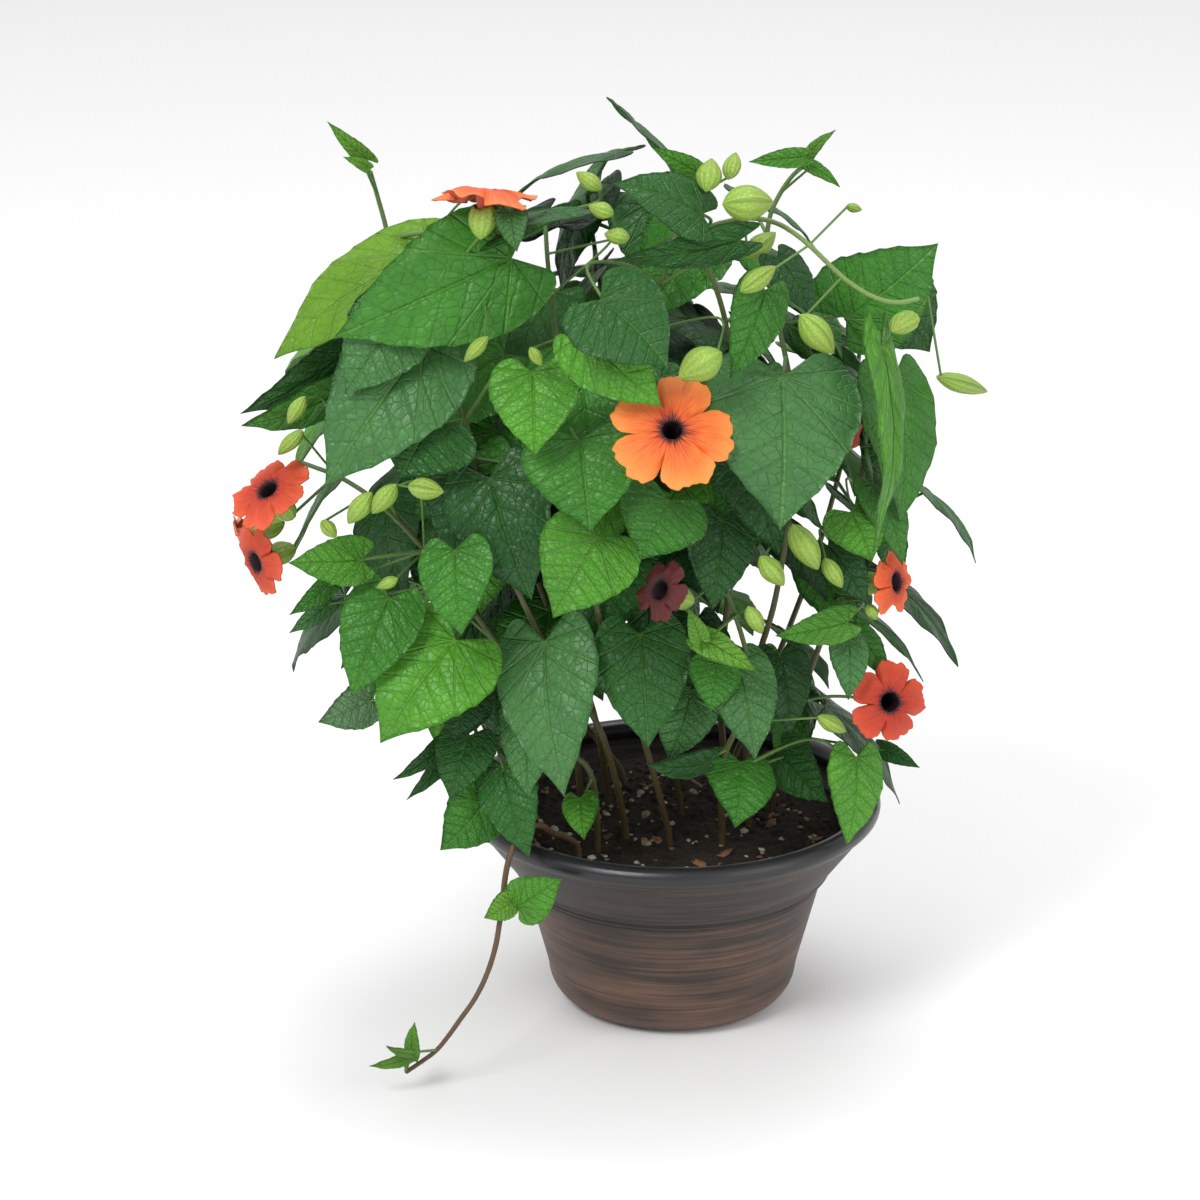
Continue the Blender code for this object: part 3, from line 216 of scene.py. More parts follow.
def arc(centre, radius, first, last, steps):
    """Points on a circle in the plane of a profile, from one angle in degrees to another."""
    angle = np.radians(np.linspace(first, last, steps))
    return [(centre[0] + radius * math.cos(a), centre[1] + radius * math.sin(a)) for a in angle]


def run(first, last, steps):
    """Points along a straight stretch of a profile, its last point left out."""
    return [tuple(np.array(first) + (np.array(last) - np.array(first)) * k / steps)
            for k in range(steps)]


roll_middle = (RIM_RADIUS - ROLL_RADIUS, POT_HEIGHT - ROLL_RADIUS)
roll_foot = (roll_middle[0] + 1.2, roll_middle[1] - ROLL_RADIUS * 0.93)
corner = BODY_FOOT_RADIUS - FOOT_RADIUS
pot_profile = run((AXIS_HOLE, POT_WALL), (FOOT_RADIUS, POT_WALL), 4)
pot_profile += run((FOOT_RADIUS, POT_WALL), (BODY_FOOT_RADIUS - POT_WALL, BODY_FOOT_HEIGHT), 4)
pot_profile += run(pot_profile[-1], (BODY_TOP_RADIUS - POT_WALL, BAND_FOOT_HEIGHT), 6)
pot_profile += run((BODY_TOP_RADIUS - POT_WALL, BAND_FOOT_HEIGHT), INNER_LIP, 6)
pot_profile += arc(roll_middle, ROLL_RADIUS, 232, -68, 26)
pot_profile += run(roll_foot, (BAND_FOOT_RADIUS + 1.2, BAND_FOOT_HEIGHT + 2.4), 14)
for across, up, radius, first, last, steps in GROOVE_ROUNDS:
    pot_profile += arc((BODY_TOP_RADIUS + across, BAND_FOOT_HEIGHT + up), radius, first, last, steps)
body_top = (BODY_TOP_RADIUS, BAND_FOOT_HEIGHT - GROOVE_DEPTH)
pot_profile += run(body_top, (BODY_FOOT_RADIUS, BODY_FOOT_HEIGHT), 14)
pot_profile += [(FOOT_RADIUS + corner * math.cos(a), BODY_FOOT_HEIGHT * (1 - math.sin(a)))
                for a in np.linspace(0.05, math.pi / 2, 14)]
pot_profile += run((FOOT_RADIUS, 0.0), (AXIS_HOLE, 0.0), 4)
pot_profile += [(AXIS_HOLE, 0.0), (AXIS_HOLE, POT_WALL)]
pot_skin = Skin()
pot_skin.put(turned_surface(pot_profile, POT_AROUND),
             grid_faces(len(pot_profile), POT_AROUND, closed=True))

plastic = Finish("pot_plastic", Roughness=0.42)
where = plastic.add("TexCoord", None, None, out=3)
height = plastic.split(where)[2]
streak_at = plastic.add("Mapping", None, {"Vector": where, "Scale": (14.0, 14.0, 950.0)})
streaks = plastic.add("TexNoise", {"noise_dimensions": "3D"},
                      {"Vector": streak_at, "Scale": 1.0, "Detail": 5.0, "Roughness": 0.65})
patch_at = plastic.add("Mapping", None, {"Vector": where, "Scale": (22.0, 22.0, 90.0)})
patches = plastic.add("TexNoise", None, {"Vector": patch_at, "Scale": 1.0, "Detail": 3.0})
low = (1.0 - (height / (BAND_FOOT_HEIGHT * MM))).clamp()
on_body = ((GROOVE_LOW * MM - height) * 400.0).clamp()
on_roll = ((height - ROLL_LOW * MM) * 900.0).clamp()
# The body's brown is lighter in streaks, in patches and towards the bottom.
body_lighter_share = ((streaks - 0.47) * 2.0 + (patches - 0.5) * 1.8 + low * 0.40).clamp()
body_brown = plastic.blend(body_lighter_share, (0.030, 0.020, 0.015), (0.175, 0.092, 0.060))
band_brown = plastic.blend(((streaks - 0.45) * 3.0 + (patches - 0.55)).clamp(),
                           (0.017, 0.013, 0.012), (0.098, 0.060, 0.044))
brown = plastic.blend(on_body, band_brown, body_brown)
plastic.send("Base Color", plastic.blend(on_roll, brown, (0.016, 0.016, 0.018)))
plastic.send("Roughness", 0.40 + streaks * 0.22 - on_roll * 0.22)
plastic.bump(streaks * 0.7 + patches * 0.3, 0.0004, 0.55)
pot_piece = pot_skin.piece("pot_shell", [plastic])
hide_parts("pot")


# The soil: dark peaty potting mix, pressed into the pot to below its rim. It is crumbly on top,
# with white perlite, tan bark chips and crumbs lying on it, and the stems stand in it.
SOIL_HEIGHT = 74.0
SOIL_REACH = 71.4
SOIL_RINGS = 90
SOIL_AROUND = 220
PERLITE = 150
CHIPS = 90
BIG_CHIPS = 16
CRUMBS = 700
SOIL_DOME = 2.0
SOIL_MIDDLE = 0.9
# The soil's relief: how high, seed, how far from one rise to the next
SOIL_RELIEF = [(1.3, 1, 22.0), (0.8, 2, 8.0), (0.55, 4, 3.2)]
# The soil's side down to the pot's floor, just inside the wall, as (radius, height)
SOIL_SIDE = [(SOIL_REACH, SOIL_HEIGHT - 1.5), (56.5, BAND_FOOT_HEIGHT - 1.5),
             (46.5, BODY_FOOT_HEIGHT), (33.5, 3.0), (0.4, 3.0)]
BARE_SOIL = (0.0, 0.0, 0.0)


def ripple(x, y, seed, size):
    """Soft random relief: a few sine waves that cross at seeded angles."""
    draw = random.Random(seed)
    total = np.zeros_like(x)
    for _wave in range(7):
        angle = draw.uniform(0, math.pi)
        step = draw.uniform(0.7, 1.6) * 2 * math.pi / size
        total += np.sin((x * math.cos(angle) + y * math.sin(angle)) * step + draw.uniform(0, 6.3))
    return total / 7


def soil_top(x, y):
    """The soil's height at a place: a low dome with clods, crumbs and grit on it."""
    top = SOIL_HEIGHT + SOIL_MIDDLE - SOIL_DOME * (np.hypot(x, y) / SOIL_REACH) ** 2
    for rise, seed, size in SOIL_RELIEF:
        top = top + rise * ripple(x, y, seed, size)
    return top


soil_skin = Skin()
reaches = np.sqrt(np.linspace(0.0, 1.0, SOIL_RINGS)) * SOIL_REACH
reaches[0] = 0.2
turn = np.linspace(0, 2 * math.pi, SOIL_AROUND, endpoint=False)
soil_x = np.outer(reaches, np.cos(turn))
soil_y = np.outer(reaches, np.sin(turn))
soil_points = np.stack([soil_x, soil_y, soil_top(soil_x, soil_y)], axis=-1).reshape(-1, 3)
soil_faces = grid_faces(SOIL_RINGS, SOIL_AROUND, closed=True)[:, ::-1]
soil_skin.put(soil_points, soil_faces, tone=BARE_SOIL)
side = turned_surface(SOIL_SIDE, SOIL_AROUND)
side[:SOIL_AROUND, 2] = soil_points[-SOIL_AROUND:, 2]
soil_skin.put(side, grid_faces(len(SOIL_SIDE), SOIL_AROUND, closed=True), tone=BARE_SOIL)


def pebble(draw, size, long, flat):
    """A small rough grain: a coarse ball whose points are moved in and out at random."""
    rows, around = 5, 7
    up = np.linspace(-1, 1, rows)
    ring = np.sqrt(np.clip(1 - up ** 2, 0.02, 1))
    angle = np.linspace(0, 2 * math.pi, around, endpoint=False)
    swell = np.array([[draw.uniform(0.72, 1.2) for _a in range(around)] for _r in range(rows)])
    x = np.outer(ring, np.cos(angle)) * swell * size * long
    y = np.outer(ring, np.sin(angle)) * swell * size
    z = np.repeat(up[:, None], around, axis=1) * size * flat * swell
    spin = draw.uniform(0, 2 * math.pi)
    tip = draw.uniform(-0.5, 0.5)
    x, z = x * math.cos(tip) - z * math.sin(tip), x * math.sin(tip) + z * math.cos(tip)
    x, y = x * math.cos(spin) - y * math.sin(spin), x * math.sin(spin) + y * math.cos(spin)
    return np.stack([x, y, z], axis=-1).reshape(-1, 3), grid_faces(rows, around, closed=True)


def strew(count, seed, sizes, longs, flat, tones, sink):
    """Grains strewn evenly over the soil, each with its own size, turn and tone: a draw's square
    root gives how far out it lies. The sink is the share of its size that is below the top."""
    draw = random.Random(seed)
    for _grain in range(count):
        reach = SOIL_REACH * 0.97 * math.sqrt(draw.random())
        angle = draw.uniform(0, 2 * math.pi)
        x, y = reach * math.cos(angle), reach * math.sin(angle)
        size = draw.uniform(*sizes) * draw.uniform(0.6, 1.0)
        points, faces = pebble(draw, size, draw.uniform(*longs), flat)
        level = float(soil_top(np.array(x), np.array(y)))
        tone = np.array(draw.choice(tones)) * draw.uniform(0.75, 1.1)
        soil_skin.put(points + np.array([x, y, level - size * sink]), faces, tone=tone)


PERLITE_TONES = [(0.72, 0.66, 0.55), (0.58, 0.50, 0.38)]
CHIP_TONES = [(0.30, 0.16, 0.07), (0.16, 0.08, 0.04), (0.45, 0.30, 0.16)]
BIG_CHIP_TONES = [(0.42, 0.22, 0.09), (0.30, 0.15, 0.07)]
CRUMB_TONES = [BARE_SOIL, (0.022, 0.012, 0.006)]
strew(PERLITE, 11, (0.6, 2.1), (1.0, 1.5), 0.8, PERLITE_TONES, 0.2)
strew(CHIPS, 12, (0.8, 2.2), (1.4, 3.0), 0.45, CHIP_TONES, 0.2)
strew(BIG_CHIPS, 14, (2.2, 3.4), (1.5, 2.4), 0.35, BIG_CHIP_TONES, 0.1)
strew(CRUMBS, 13, (0.7, 2.0), (1.0, 1.7), 0.8, CRUMB_TONES, 0.35)

earth = Finish("potting_mix", Roughness=0.95)
earth_at = earth.add("TexCoord", None, None, out=3)
grit = earth.add("TexNoise", None,
                 {"Vector": earth_at, "Scale": 900.0, "Detail": 6.0, "Roughness": 0.7})
clods = earth.add("TexNoise", None, {"Vector": earth_at, "Scale": 160.0, "Detail": 4.0})
dark = earth.blend(((grit - 0.4) * 2.5).clamp(), (0.006, 0.0035, 0.002), (0.052, 0.028, 0.016))
dark = earth.blend(((clods - 0.5) * 2.0).clamp(), dark, (0.035, 0.017, 0.009))
own = earth.add("VertexColor", {"layer_name": "tone"})
light = earth.add("RGBToBW", None, {0: own})
grain_share = (light * 14.0).clamp()
mottled = earth.blend((grit * 0.6).clamp(), own, (0.12, 0.07, 0.04))
earth.send("Base Color", earth.blend(grain_share, dark, mottled))
earth.bump(grit, 0.0006, 0.9)
soil_piece = soil_skin.piece("potting_soil", [earth])
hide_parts("soil")


# The stems: thin twining vines that come up round the middle of the pot and lean on one another,
# woody brown at the foot and green and hairy above. Each route starts in the soil and passes
# through points read from the picture, which is 1200 pixels across.
STEM_RADIUS = 1.4
STEM_TAPER = 0.62
STEM_FOOT = 12.0
STEM_CLEAR = 6.0
STEM_SPACING = 4.0
STEM_STRIDE = 4
VIEW_TILT = math.radians(20.5)
VIEW_DISTANCE = 2200.0
VIEW_AIM = np.array([-29.0, 0.0, 167.7])
VIEW_SCALE = 0.3922
VIEW_CENTRE = 600.0
STEM_GREEN = (0.075, 0.160, 0.030)
STEM_BROWN = (0.110, 0.060, 0.025)
STEM_TIPS = {"vine_long_shoot": (0.200, 0.330, 0.090), "vine_trailing": STEM_BROWN}
HAIR_TONE = (0.45, 0.55, 0.30)
STEM_SIDES = 10
STEM_HAIRS_PER_MM = 1.2
HAIR_WIDTH = 0.07
# The places of the three finishes of a growing piece
BLADE_FINISH, GREEN_FINISH, BRACT_FINISH = range(3)

# Stems: where each leaves the soil (x, front), then (pixel across, pixel down, front)
STEMS = {
    "vine_top_left": ((-26, -14), [(590, 700, 8), (545, 600, 18), (500, 480, 26), (450, 380, 30),
                                   (415, 300, 26), (393, 250, 20), (380, 205, 14), (367, 160, 10)]),
    "vine_left": ((-36, 6), [(565, 715, 24), (500, 645, 38), (445, 575, 44), (392, 515, 42),
                             (345, 480, 32), (300, 462, 22)]),
    "vine_mid_left": ((-19, 21), [(600, 730, 38), (548, 650, 48), (505, 560, 52), (478, 470, 52),
                                  (462, 400, 46), (452, 340, 38)]),
    "vine_centre": ((-2, 27), [(636, 715, 48), (600, 620, 56), (580, 520, 60), (566, 420, 58),
                               (556, 330, 48), (548, 265, 34), (545, 215, 24)]),
    "vine_top": ((3, -4), [(655, 690, 10), (645, 560, 18), (642, 430, 24), (655, 320, 24),
                           (672, 245, 18), (690, 195, 10), (690, 172, 8)]),
    "vine_long_shoot": ((22, -18), [(720, 680, -8), (735, 540, -2), (738, 420, 6), (725, 320, 14),
                                    (703, 240, 30), (735, 220, 44), (770, 221, 56), (802, 239, 64),
                                    (850, 283, 70), (890, 302, 70), (928, 297, 64)]),
    "vine_right": ((30, 8), [(748, 700, 26), (775, 600, 40), (790, 500, 46), (792, 400, 46),
                             (780, 330, 38), (772, 280, 30), (768, 225, 20), (786, 184, 12),
                             (806, 164, 8)]),
    "vine_far_right": ((40, -10), [(800, 700, 0), (835, 600, 6), (858, 500, 12), (868, 410, 14),
                                   (872, 350, 10)]),
    "vine_low_right": ((19, 27), [(722, 765, 44), (742, 715, 54), (748, 665, 58), (735, 615, 58),
                                  (715, 560, 58)]),
    "vine_low_left": ((-30, 32), [(590, 772, 44), (552, 745, 50), (512, 735, 50), (478, 742, 44)]),
}
# Stems over the rim and behind the crown, as (x, front, height) in mm
PLACED_STEMS = {
    "vine_trailing": ((-38, 40), [(-47, 49, 89), (-54, 56.5, 96), (-61, 63.5, 93), (-65, 69, 83),
                                  (-67, 74, 68), (-70, 80, 52), (-76, 86, 38), (-85, 91, 26),
                                  (-92, 93, 17), (-104, 94, 8)]),
    "vine_back_left": ((-20, -34), [(-45, -48, 110), (-75, -56, 160), (-98, -52, 215), (-108, -40, 262)]),
    "vine_back": ((0, -40), [(0, -58, 115), (-10, -66, 175), (-22, -62, 235), (-30, -46, 290),
                             (-34, -28, 325)]),
    "vine_back_right": ((24, -40), [(38, -54, 110), (58, -60, 165), (70, -54, 220), (74, -38, 268)]),
}


def seen(across, down, front):
    """The point that shows at a pixel and lies that many mm in front of the pot's axis: where the
    line of sight through the pixel meets an upright plane."""
    forward = np.array([0.0, math.cos(VIEW_TILT), -math.sin(VIEW_TILT)])
    upward = np.array([0.0, math.sin(VIEW_TILT), math.cos(VIEW_TILT)])
    eye = VIEW_AIM - forward * VIEW_DISTANCE
    ray = forward * VIEW_DISTANCE + upward * (VIEW_CENTRE - down) * VIEW_SCALE
    ray = ray + np.array([(across - VIEW_CENTRE) * VIEW_SCALE, 0.0, 0.0])
    return eye + ray * ((-front - eye[1]) / ray[1])


def unit(vector):
    """The vector at length one."""
    vector = np.asarray(vector, dtype=float)
    return vector / max(np.linalg.norm(vector), 1e-9)


def smooth_path(points, spacing):
    """Points about every spacing mm along a smooth curve through the given ones: between two of
    them a cubic whose slope at each is half the way from its neighbour before to the one after."""
    points = np.asarray(points, dtype=float)
    ends = np.vstack([2 * points[0] - points[1], points, 2 * points[-1] - points[-2]])
    path = []
    for a, b, c, d in zip(ends[:-3], ends[1:-2], ends[2:-1], ends[3:]):
        count = max(1, round(float(np.linalg.norm(c - b)) / spacing))
        u = (np.arange(count) / count)[:, None]
        bend = (2 * a - 5 * b + 4 * c - d) * u * u + (3 * b - a - 3 * c + d) * u ** 3
        path.append(0.5 * (2 * b + (c - a) * u + bend))
    return np.vstack(path + [points[-1:]])


def stem_routes():
    """Each stem's fine path in mm, from inside the soil to its tip."""
    routes = {}
    for name, ((x, front), marks) in STEMS.items():
        start = [(x, -front, SOIL_HEIGHT - STEM_FOOT), (x, -front, SOIL_HEIGHT + STEM_CLEAR)]
        routes[name] = smooth_path(start + [seen(*mark) for mark in marks], STEM_SPACING)
    for name, ((x, front), places) in PLACED_STEMS.items():
        start = [(x, -front, SOIL_HEIGHT - STEM_FOOT), (x, -front, SOIL_HEIGHT + STEM_CLEAR)]
        routes[name] = smooth_path(start + [(px, -py, pz) for px, py, pz in places], STEM_SPACING)
    return routes


def distances(path):
    """How far along a path each of its points is."""
    return np.cumsum(np.r_[0, np.linalg.norm(np.diff(path, axis=0), axis=1)])


def put_tube(skin, path, radii, tone, around):
    """A stem or stalk: a ring of points carried along a path, square to it, with closed ends."""
    path = np.asarray(path, dtype=float)
    along = np.gradient(path, axis=0)
    along /= np.maximum(np.linalg.norm(along, axis=1, keepdims=True), 1e-9)
    side = np.cross(along, np.array([0.31, 0.22, 0.92]))
    side /= np.maximum(np.linalg.norm(side, axis=1, keepdims=True), 1e-9)
    over = np.cross(along, side)
    angle = np.linspace(0, 2 * math.pi, around, endpoint=False)
    radii = np.broadcast_to(np.asarray(radii, dtype=float), (len(path),))
    ring = side[:, None] * np.cos(angle)[:, None] + over[:, None] * np.sin(angle)[:, None]
    points = (path[:, None] + ring * radii[:, None, None]).reshape(-1, 3)
    faces = grid_faces(len(path), around, closed=True)[:, ::-1]
    start = len(points)
    points = np.vstack([points, path[:1], path[-1:]])
    turn = np.arange(around)
    after = (turn + 1) % around
    last = (len(path) - 1) * around
    head = np.stack([np.full(around, start), after, turn, turn], axis=-1)
    tail = np.stack([np.full(around, start + 1), last + turn, last + after, last + after], axis=-1)
    along_uv = np.repeat(distances(path), around) * 0.02
    places = np.stack([np.tile(angle / 6.3, len(path)), along_uv], axis=-1)
    places = np.vstack([places, places[:1], places[-1:]])
    if np.ndim(tone) == 2:
        tone = np.vstack([np.repeat(tone, around, axis=0), tone[:1], tone[-1:]])
    skin.put(points, np.vstack([faces, head, tail]), places, tone, GREEN_FINISH)


def put_hairs(skin, path, radius, draw, per_mm):
    """Short pale hairs that stand out of a stem at random places and angles, each a sliver with
    three sides that come together in a tip."""
    reach = distances(path)
    for _hair in range(int(reach[-1] * per_mm)):
        at = draw.uniform(0.03, 0.99) * reach[-1]
        place = np.array([np.interp(at, reach, path[:, k]) for k in range(3)])
        out = unit(np.array([draw.gauss(0, 1), draw.gauss(0, 1), draw.gauss(0, 1)]))
        tip = place + out * (radius + draw.uniform(0.6, 1.3))
        side = unit(np.cross(out, (0.2, 0.5, 0.8))) * HAIR_WIDTH
        over = np.cross(out, side)
        root = place + out * radius * 0.7
        points = np.array([root + side, root - side * 0.5 + over, root - side * 0.5 - over, tip])
        faces = np.array([[0, 1, 3, 3], [1, 2, 3, 3], [2, 0, 3, 3]])
        skin.put(points, faces, None, HAIR_TONE, GREEN_FINISH)


routes = stem_routes()
grown = {name: {"route": route, "leaves": [], "buds": [], "flowers": []}
         for name, route in routes.items()}

stalk_green = Finish("stem_green", Roughness=0.52)
stalk_tone = stalk_green.add("VertexColor", {"layer_name": "tone"})
stalk_at = stalk_green.add("TexCoord", None, None, out=3)
stalk_noise = stalk_green.add("TexNoise", None, {"Vector": stalk_at, "Scale": 500.0, "Detail": 3.0})
stalk_dark = stalk_green.blend(0.45, stalk_tone, (0.03, 0.03, 0.012))
stalk_green.send("Base Color", stalk_green.blend(stalk_noise, stalk_tone, stalk_dark))
stalk_green.bump(stalk_noise, 0.0003, 0.5)


# The flowers: each hangs out on a thin stalk from a stem, in a cup of two bracts. A corolla is a
# narrow tube that opens into five flat lobes, orange to brick red, with a near-black throat and red
# streaks running out from it. It is one soft piece, and drops from its cup as one.
STALK_RADIUS = 0.8
STALK_SINK = 2.5
STALK_STRIDE = 32.0
STALK_SIDES = 7

# The room that one growing thing leaves to the next, and the lifts tried to find it, in mm
CLEARANCE = 3.4
KIN_CLEARANCE = 2.0
WALL_ROOM = 3.0
RIM_ROOM = 2.5
FLOOR_ROOM = 1.6
ROOM_CELL = 2.0
ROOM_LOW = np.array([-220.0, -160.0, 0.0])
ROOM_HIGH = np.array([160.0, 160.0, 400.0])
LIFT_STEPS = [0, 4, -4, 8, -8, 12, -12, 17, -17, 23, -23]
STEM_CHOICES = (0, -1, 1, -2, 2)
LIFT_COST = 0.4

# The rounded crown of foliage, as picture pixels for its front and mm for the rest
CROWN_MIDDLE = (600.0, 480.0)
CROWN_REACH = (385.0, 415.0)
CROWN_DEPTH = 92.0
CROWN_CENTRE = np.array([-24.0, 0.0, 208.0])
CROWN_RADII = np.array([138.0, 92.0, 142.0])

# Flowers: vine, throat pixel, lift off the crown, way they face (x, front, up), lobe reach in mm
FLOWERS = {
    "corolla_hero": ("vine_centre", (672, 430), 12, (0.05, 1.0, 0.85), 24),
    "corolla_low_right": ("vine_low_right", (890, 702), 22, (0.35, 1.0, 0.30), 16),
    "corolla_dark_centre": ("vine_low_right", (660, 590), 6, (-0.8, 0.7, 0.6), 12),
    "corolla_right": ("vine_far_right", (896, 582), 6, (0.85, 0.45, 0.2), 13),
    "corolla_top_left": ("vine_top_left", (485, 190), 8, (0.1, -0.3, 1.0), 19),
    "corolla_left_upper": ("vine_left", (268, 490), 8, (-0.5, 0.45, 0.85), 17),
    "corolla_left_faded": ("vine_left", (240, 538), -4, (-0.9, 0.1, -0.3), 9),
    "corolla_left_lower": ("vine_left", (256, 562), 10, (-0.8, 0.6, -0.1), 14),
}
BACK_FLOWERS = {
    "corolla_back_left": ("vine_back_left", (-96, -96, 236), (-0.4, -0.9, 0.3), 21),
    "corolla_back_right": ("vine_back_right", (62, -100, 214), (0.3, -0.95, 0.25), 21),
}

# Corolla, in mm back along its axis and out from it
TUBE_REACH = 16.0
TUBE_RADIUS = 1.4
THROAT_RADIUS = 3.8
LOBES = 5
CUP_BACK = 18.5
CUP_FRONT = 9.5
CUP_RADIUS = 5.0
PETAL_SHEET = 0.40
FLOWER_AROUND = 150
FLOWER_RINGS = 26
# The pattern places of a sheet's back lie this far from those of its front
BACK_PLACE = (4.0, 0.0)
PETAL_TONES = {
    "corolla_hero": (0.84, 0.175, 0.026), "corolla_low_right": (0.50, 0.040, 0.010),
    "corolla_dark_centre": (0.085, 0.004, 0.004), "corolla_right": (0.66, 0.085, 0.016),
    "corolla_top_left": (0.74, 0.120, 0.030), "corolla_left_upper": (0.60, 0.060, 0.016),
    "corolla_left_faded": (0.72, 0.180, 0.080), "corolla_left_lower": (0.56, 0.055, 0.014),
    "corolla_back_left": (0.76, 0.120, 0.024), "corolla_back_right": (0.64, 0.080, 0.016),
}


def crown_front(across, down):
    """How far the crown's face stands before the pot's axis at a pixel, in mm: half an ellipsoid."""
    u = (across - CROWN_MIDDLE[0]) / CROWN_REACH[0]
    v = (down - CROWN_MIDDLE[1]) / CROWN_REACH[1]
    return CROWN_DEPTH * math.sqrt(max(0.04, 1.0 - u * u - v * v))


def in_picture(across, down, lift):
    """A maker of the point at a pixel, lifted off the crown's face."""
    return lambda extra: seen(across, down, crown_front(across, down) + lift + extra)


def stalk_route(start, end, heading, sink):
    """A stalk's path from a stem, sunk past its end: a cubic curve with two handles of about a
    third of its reach, that rises at first and comes in along its heading."""
    start = np.asarray(start, dtype=float)
    reach = float(np.linalg.norm(end - start))
    leave = start + (unit(end - start) + np.array([0.0, 0.0, 0.45])) * reach * 0.35
    arrive = end - unit(heading) * reach * 0.35
    path = []
    for u in np.linspace(0.0, 1.0, max(2, round(reach / STALK_STRIDE) + 1)):
        path.append((1 - u) ** 3 * start + 3 * (1 - u) ** 2 * u * leave
                    + 3 * (1 - u) * u * u * arrive + u ** 3 * end)
    path[-1] = end + unit(heading) * sink
    return np.array(path)


def along_samples(path, spacing=3.0):
    """Points every few mm along straight runs between a path's points."""
    found = []
    for a, b in zip(path[:-1], path[1:]):
        count = max(1, int(np.linalg.norm(b - a) / spacing))
        found += [a + (b - a) * k / count for k in range(count)]
    found.append(path[-1])
    return np.array(found)


class Room:
    """A grid of small cells that remembers, as one bit per node, what stands within reach of each."""

    def __init__(self):
        shape = np.ceil((ROOM_HIGH - ROOM_LOW) / ROOM_CELL).astype(int)
        self.near = np.zeros(shape, dtype=np.int64)
        self.kin = np.zeros(shape, dtype=np.int64)
        self.names = []

    def bit(self, name):
        if name not in self.names:
            self.names.append(name)
        return 1 << self.names.index(name)

    def cells(self, points):
        found = np.floor((points - ROOM_LOW) / ROOM_CELL).astype(int)
        return tuple(np.clip(found, 0, np.array(self.near.shape) - 1).T)

    def add(self, points, owner):
        for grid, reach in ((self.near, CLEARANCE), (self.kin, KIN_CLEARANCE)):
            steps = np.arange(-reach, reach + 0.1, ROOM_CELL * 0.85)
            ball = np.array([(x, y, z) for x in steps for y in steps for z in steps])
            ball = ball[np.linalg.norm(ball, axis=1) <= reach]
            for offset in ball:
                np.bitwise_or.at(grid, self.cells(points + offset), self.bit(owner))

    def crowding(self, points, owner):
        """None where the points touch the pot, the floor or another node, else how many meet kin."""
        radius = np.hypot(points[:, 0], points[:, 1])
        in_wall = (radius < RIM_RADIUS + WALL_ROOM) & (points[:, 2] < POT_HEIGHT + RIM_ROOM)
        well = RIM_RADIUS - 2 * ROLL_RADIUS - WALL_ROOM
        in_well = (radius < well) & (points[:, 2] > SOIL_HEIGHT + WALL_ROOM)
        if np.any(in_wall & ~in_well) or np.any(points[:, 2] < FLOOR_ROOM):
            return None
        cells = self.cells(points)
        if np.any(self.near[cells] & ~self.bit(owner)):
            return None
        return int(np.count_nonzero(self.kin[cells] & self.bit(owner)))


def lift_choices(room, owner, build):
    """The first build of a piece that is clear of other nodes and crosses few of its own."""
    best = None
    for lift in LIFT_STEPS:
        for option in range(len(STEM_CHOICES)):
            made = build(lift, option)
            if made is None:
                continue
            crowd = room.crowding(made["samples"], owner)
            if crowd is None:
                continue
            score = crowd + abs(lift) * LIFT_COST + option
            if best is None or score < best[0]:
                best = (score, made)
        if best is not None and best[0] <= abs(lift) * LIFT_COST + 2:
            break
    return None if best is None else best[1]


def leave_point(route, end, option):
    """A joint of a stem for a stalk: the nearest good one, or the next below or above it. The
    joints stand 16 mm apart, and the two lowest bear nothing."""
    usable = np.vstack([route[:-2:STEM_STRIDE], route[-1]])[2:]
    reach = np.linalg.norm(usable - end, axis=1) + 0.5 * np.maximum(0.0, usable[:, 2] - end[2] + 6)
    nearest = int(np.argmin(reach))
    index = min(max(nearest + STEM_CHOICES[option], 0), len(usable) - 1)
    return usable[index]


def flower_build(name, route, throat_at, facing, reach):
    """A maker of one flower for a given lift: corolla samples, cup axis and stalk."""
    facing = unit((facing[0], -facing[1], facing[2]))
    side = unit(np.cross(facing, (0.0, 0.0, 1.0)) + np.array([1e-6, 0.0, 0.0]))
    over = np.cross(side, facing)

    def build(lift, option):
        throat = throat_at(lift)
        disc = [throat + facing * 1.0]
        for radius in np.arange(4.0, reach + 0.1, 4.0):
            for angle in np.linspace(0, 2 * math.pi, max(8, int(radius * 1.6)), endpoint=False):
                disc.append(throat + (side * math.cos(angle) + over * math.sin(angle)) * radius)
        disc += [throat - facing * back for back in (3.0, 6.0)]
        heel = throat - facing * CUP_BACK
        start = leave_point(route, heel, option)
        stalk = stalk_route(start, heel, facing, 1.5)
        cup = [throat - facing * back for back in (10.0, 13.0, 16.0, 19.0)]
        trail = along_samples(stalk)
        own = np.linalg.norm(np.array(disc)[:, None] - trail[None], axis=2)
        stem = np.linalg.norm(np.array(disc)[:, None] - route[None], axis=2)
        if own.min() < 3.0 or stem.min() < CLEARANCE:
            return None
        trail = trail[np.linalg.norm(trail - start, axis=1) > WALL_ROOM]
        return {"throat": throat, "facing": facing, "over": over, "side": side, "reach": reach,
                "stalk": stalk, "disc": np.vstack([disc, cup]), "green": np.vstack([cup, trail]),
                "samples": np.vstack([disc, cup, trail]), "name": name}
    return build


def keep_flower(vine, build, name):
    """Place one flower, its corolla as a node of its own and its cup and stalk on the vine."""
    made = lift_choices(room, vine, build)
    if made is not None:
        grown[vine]["flowers"].append(made)
        room.add(made["disc"], name)
        room.add(made["green"], vine)


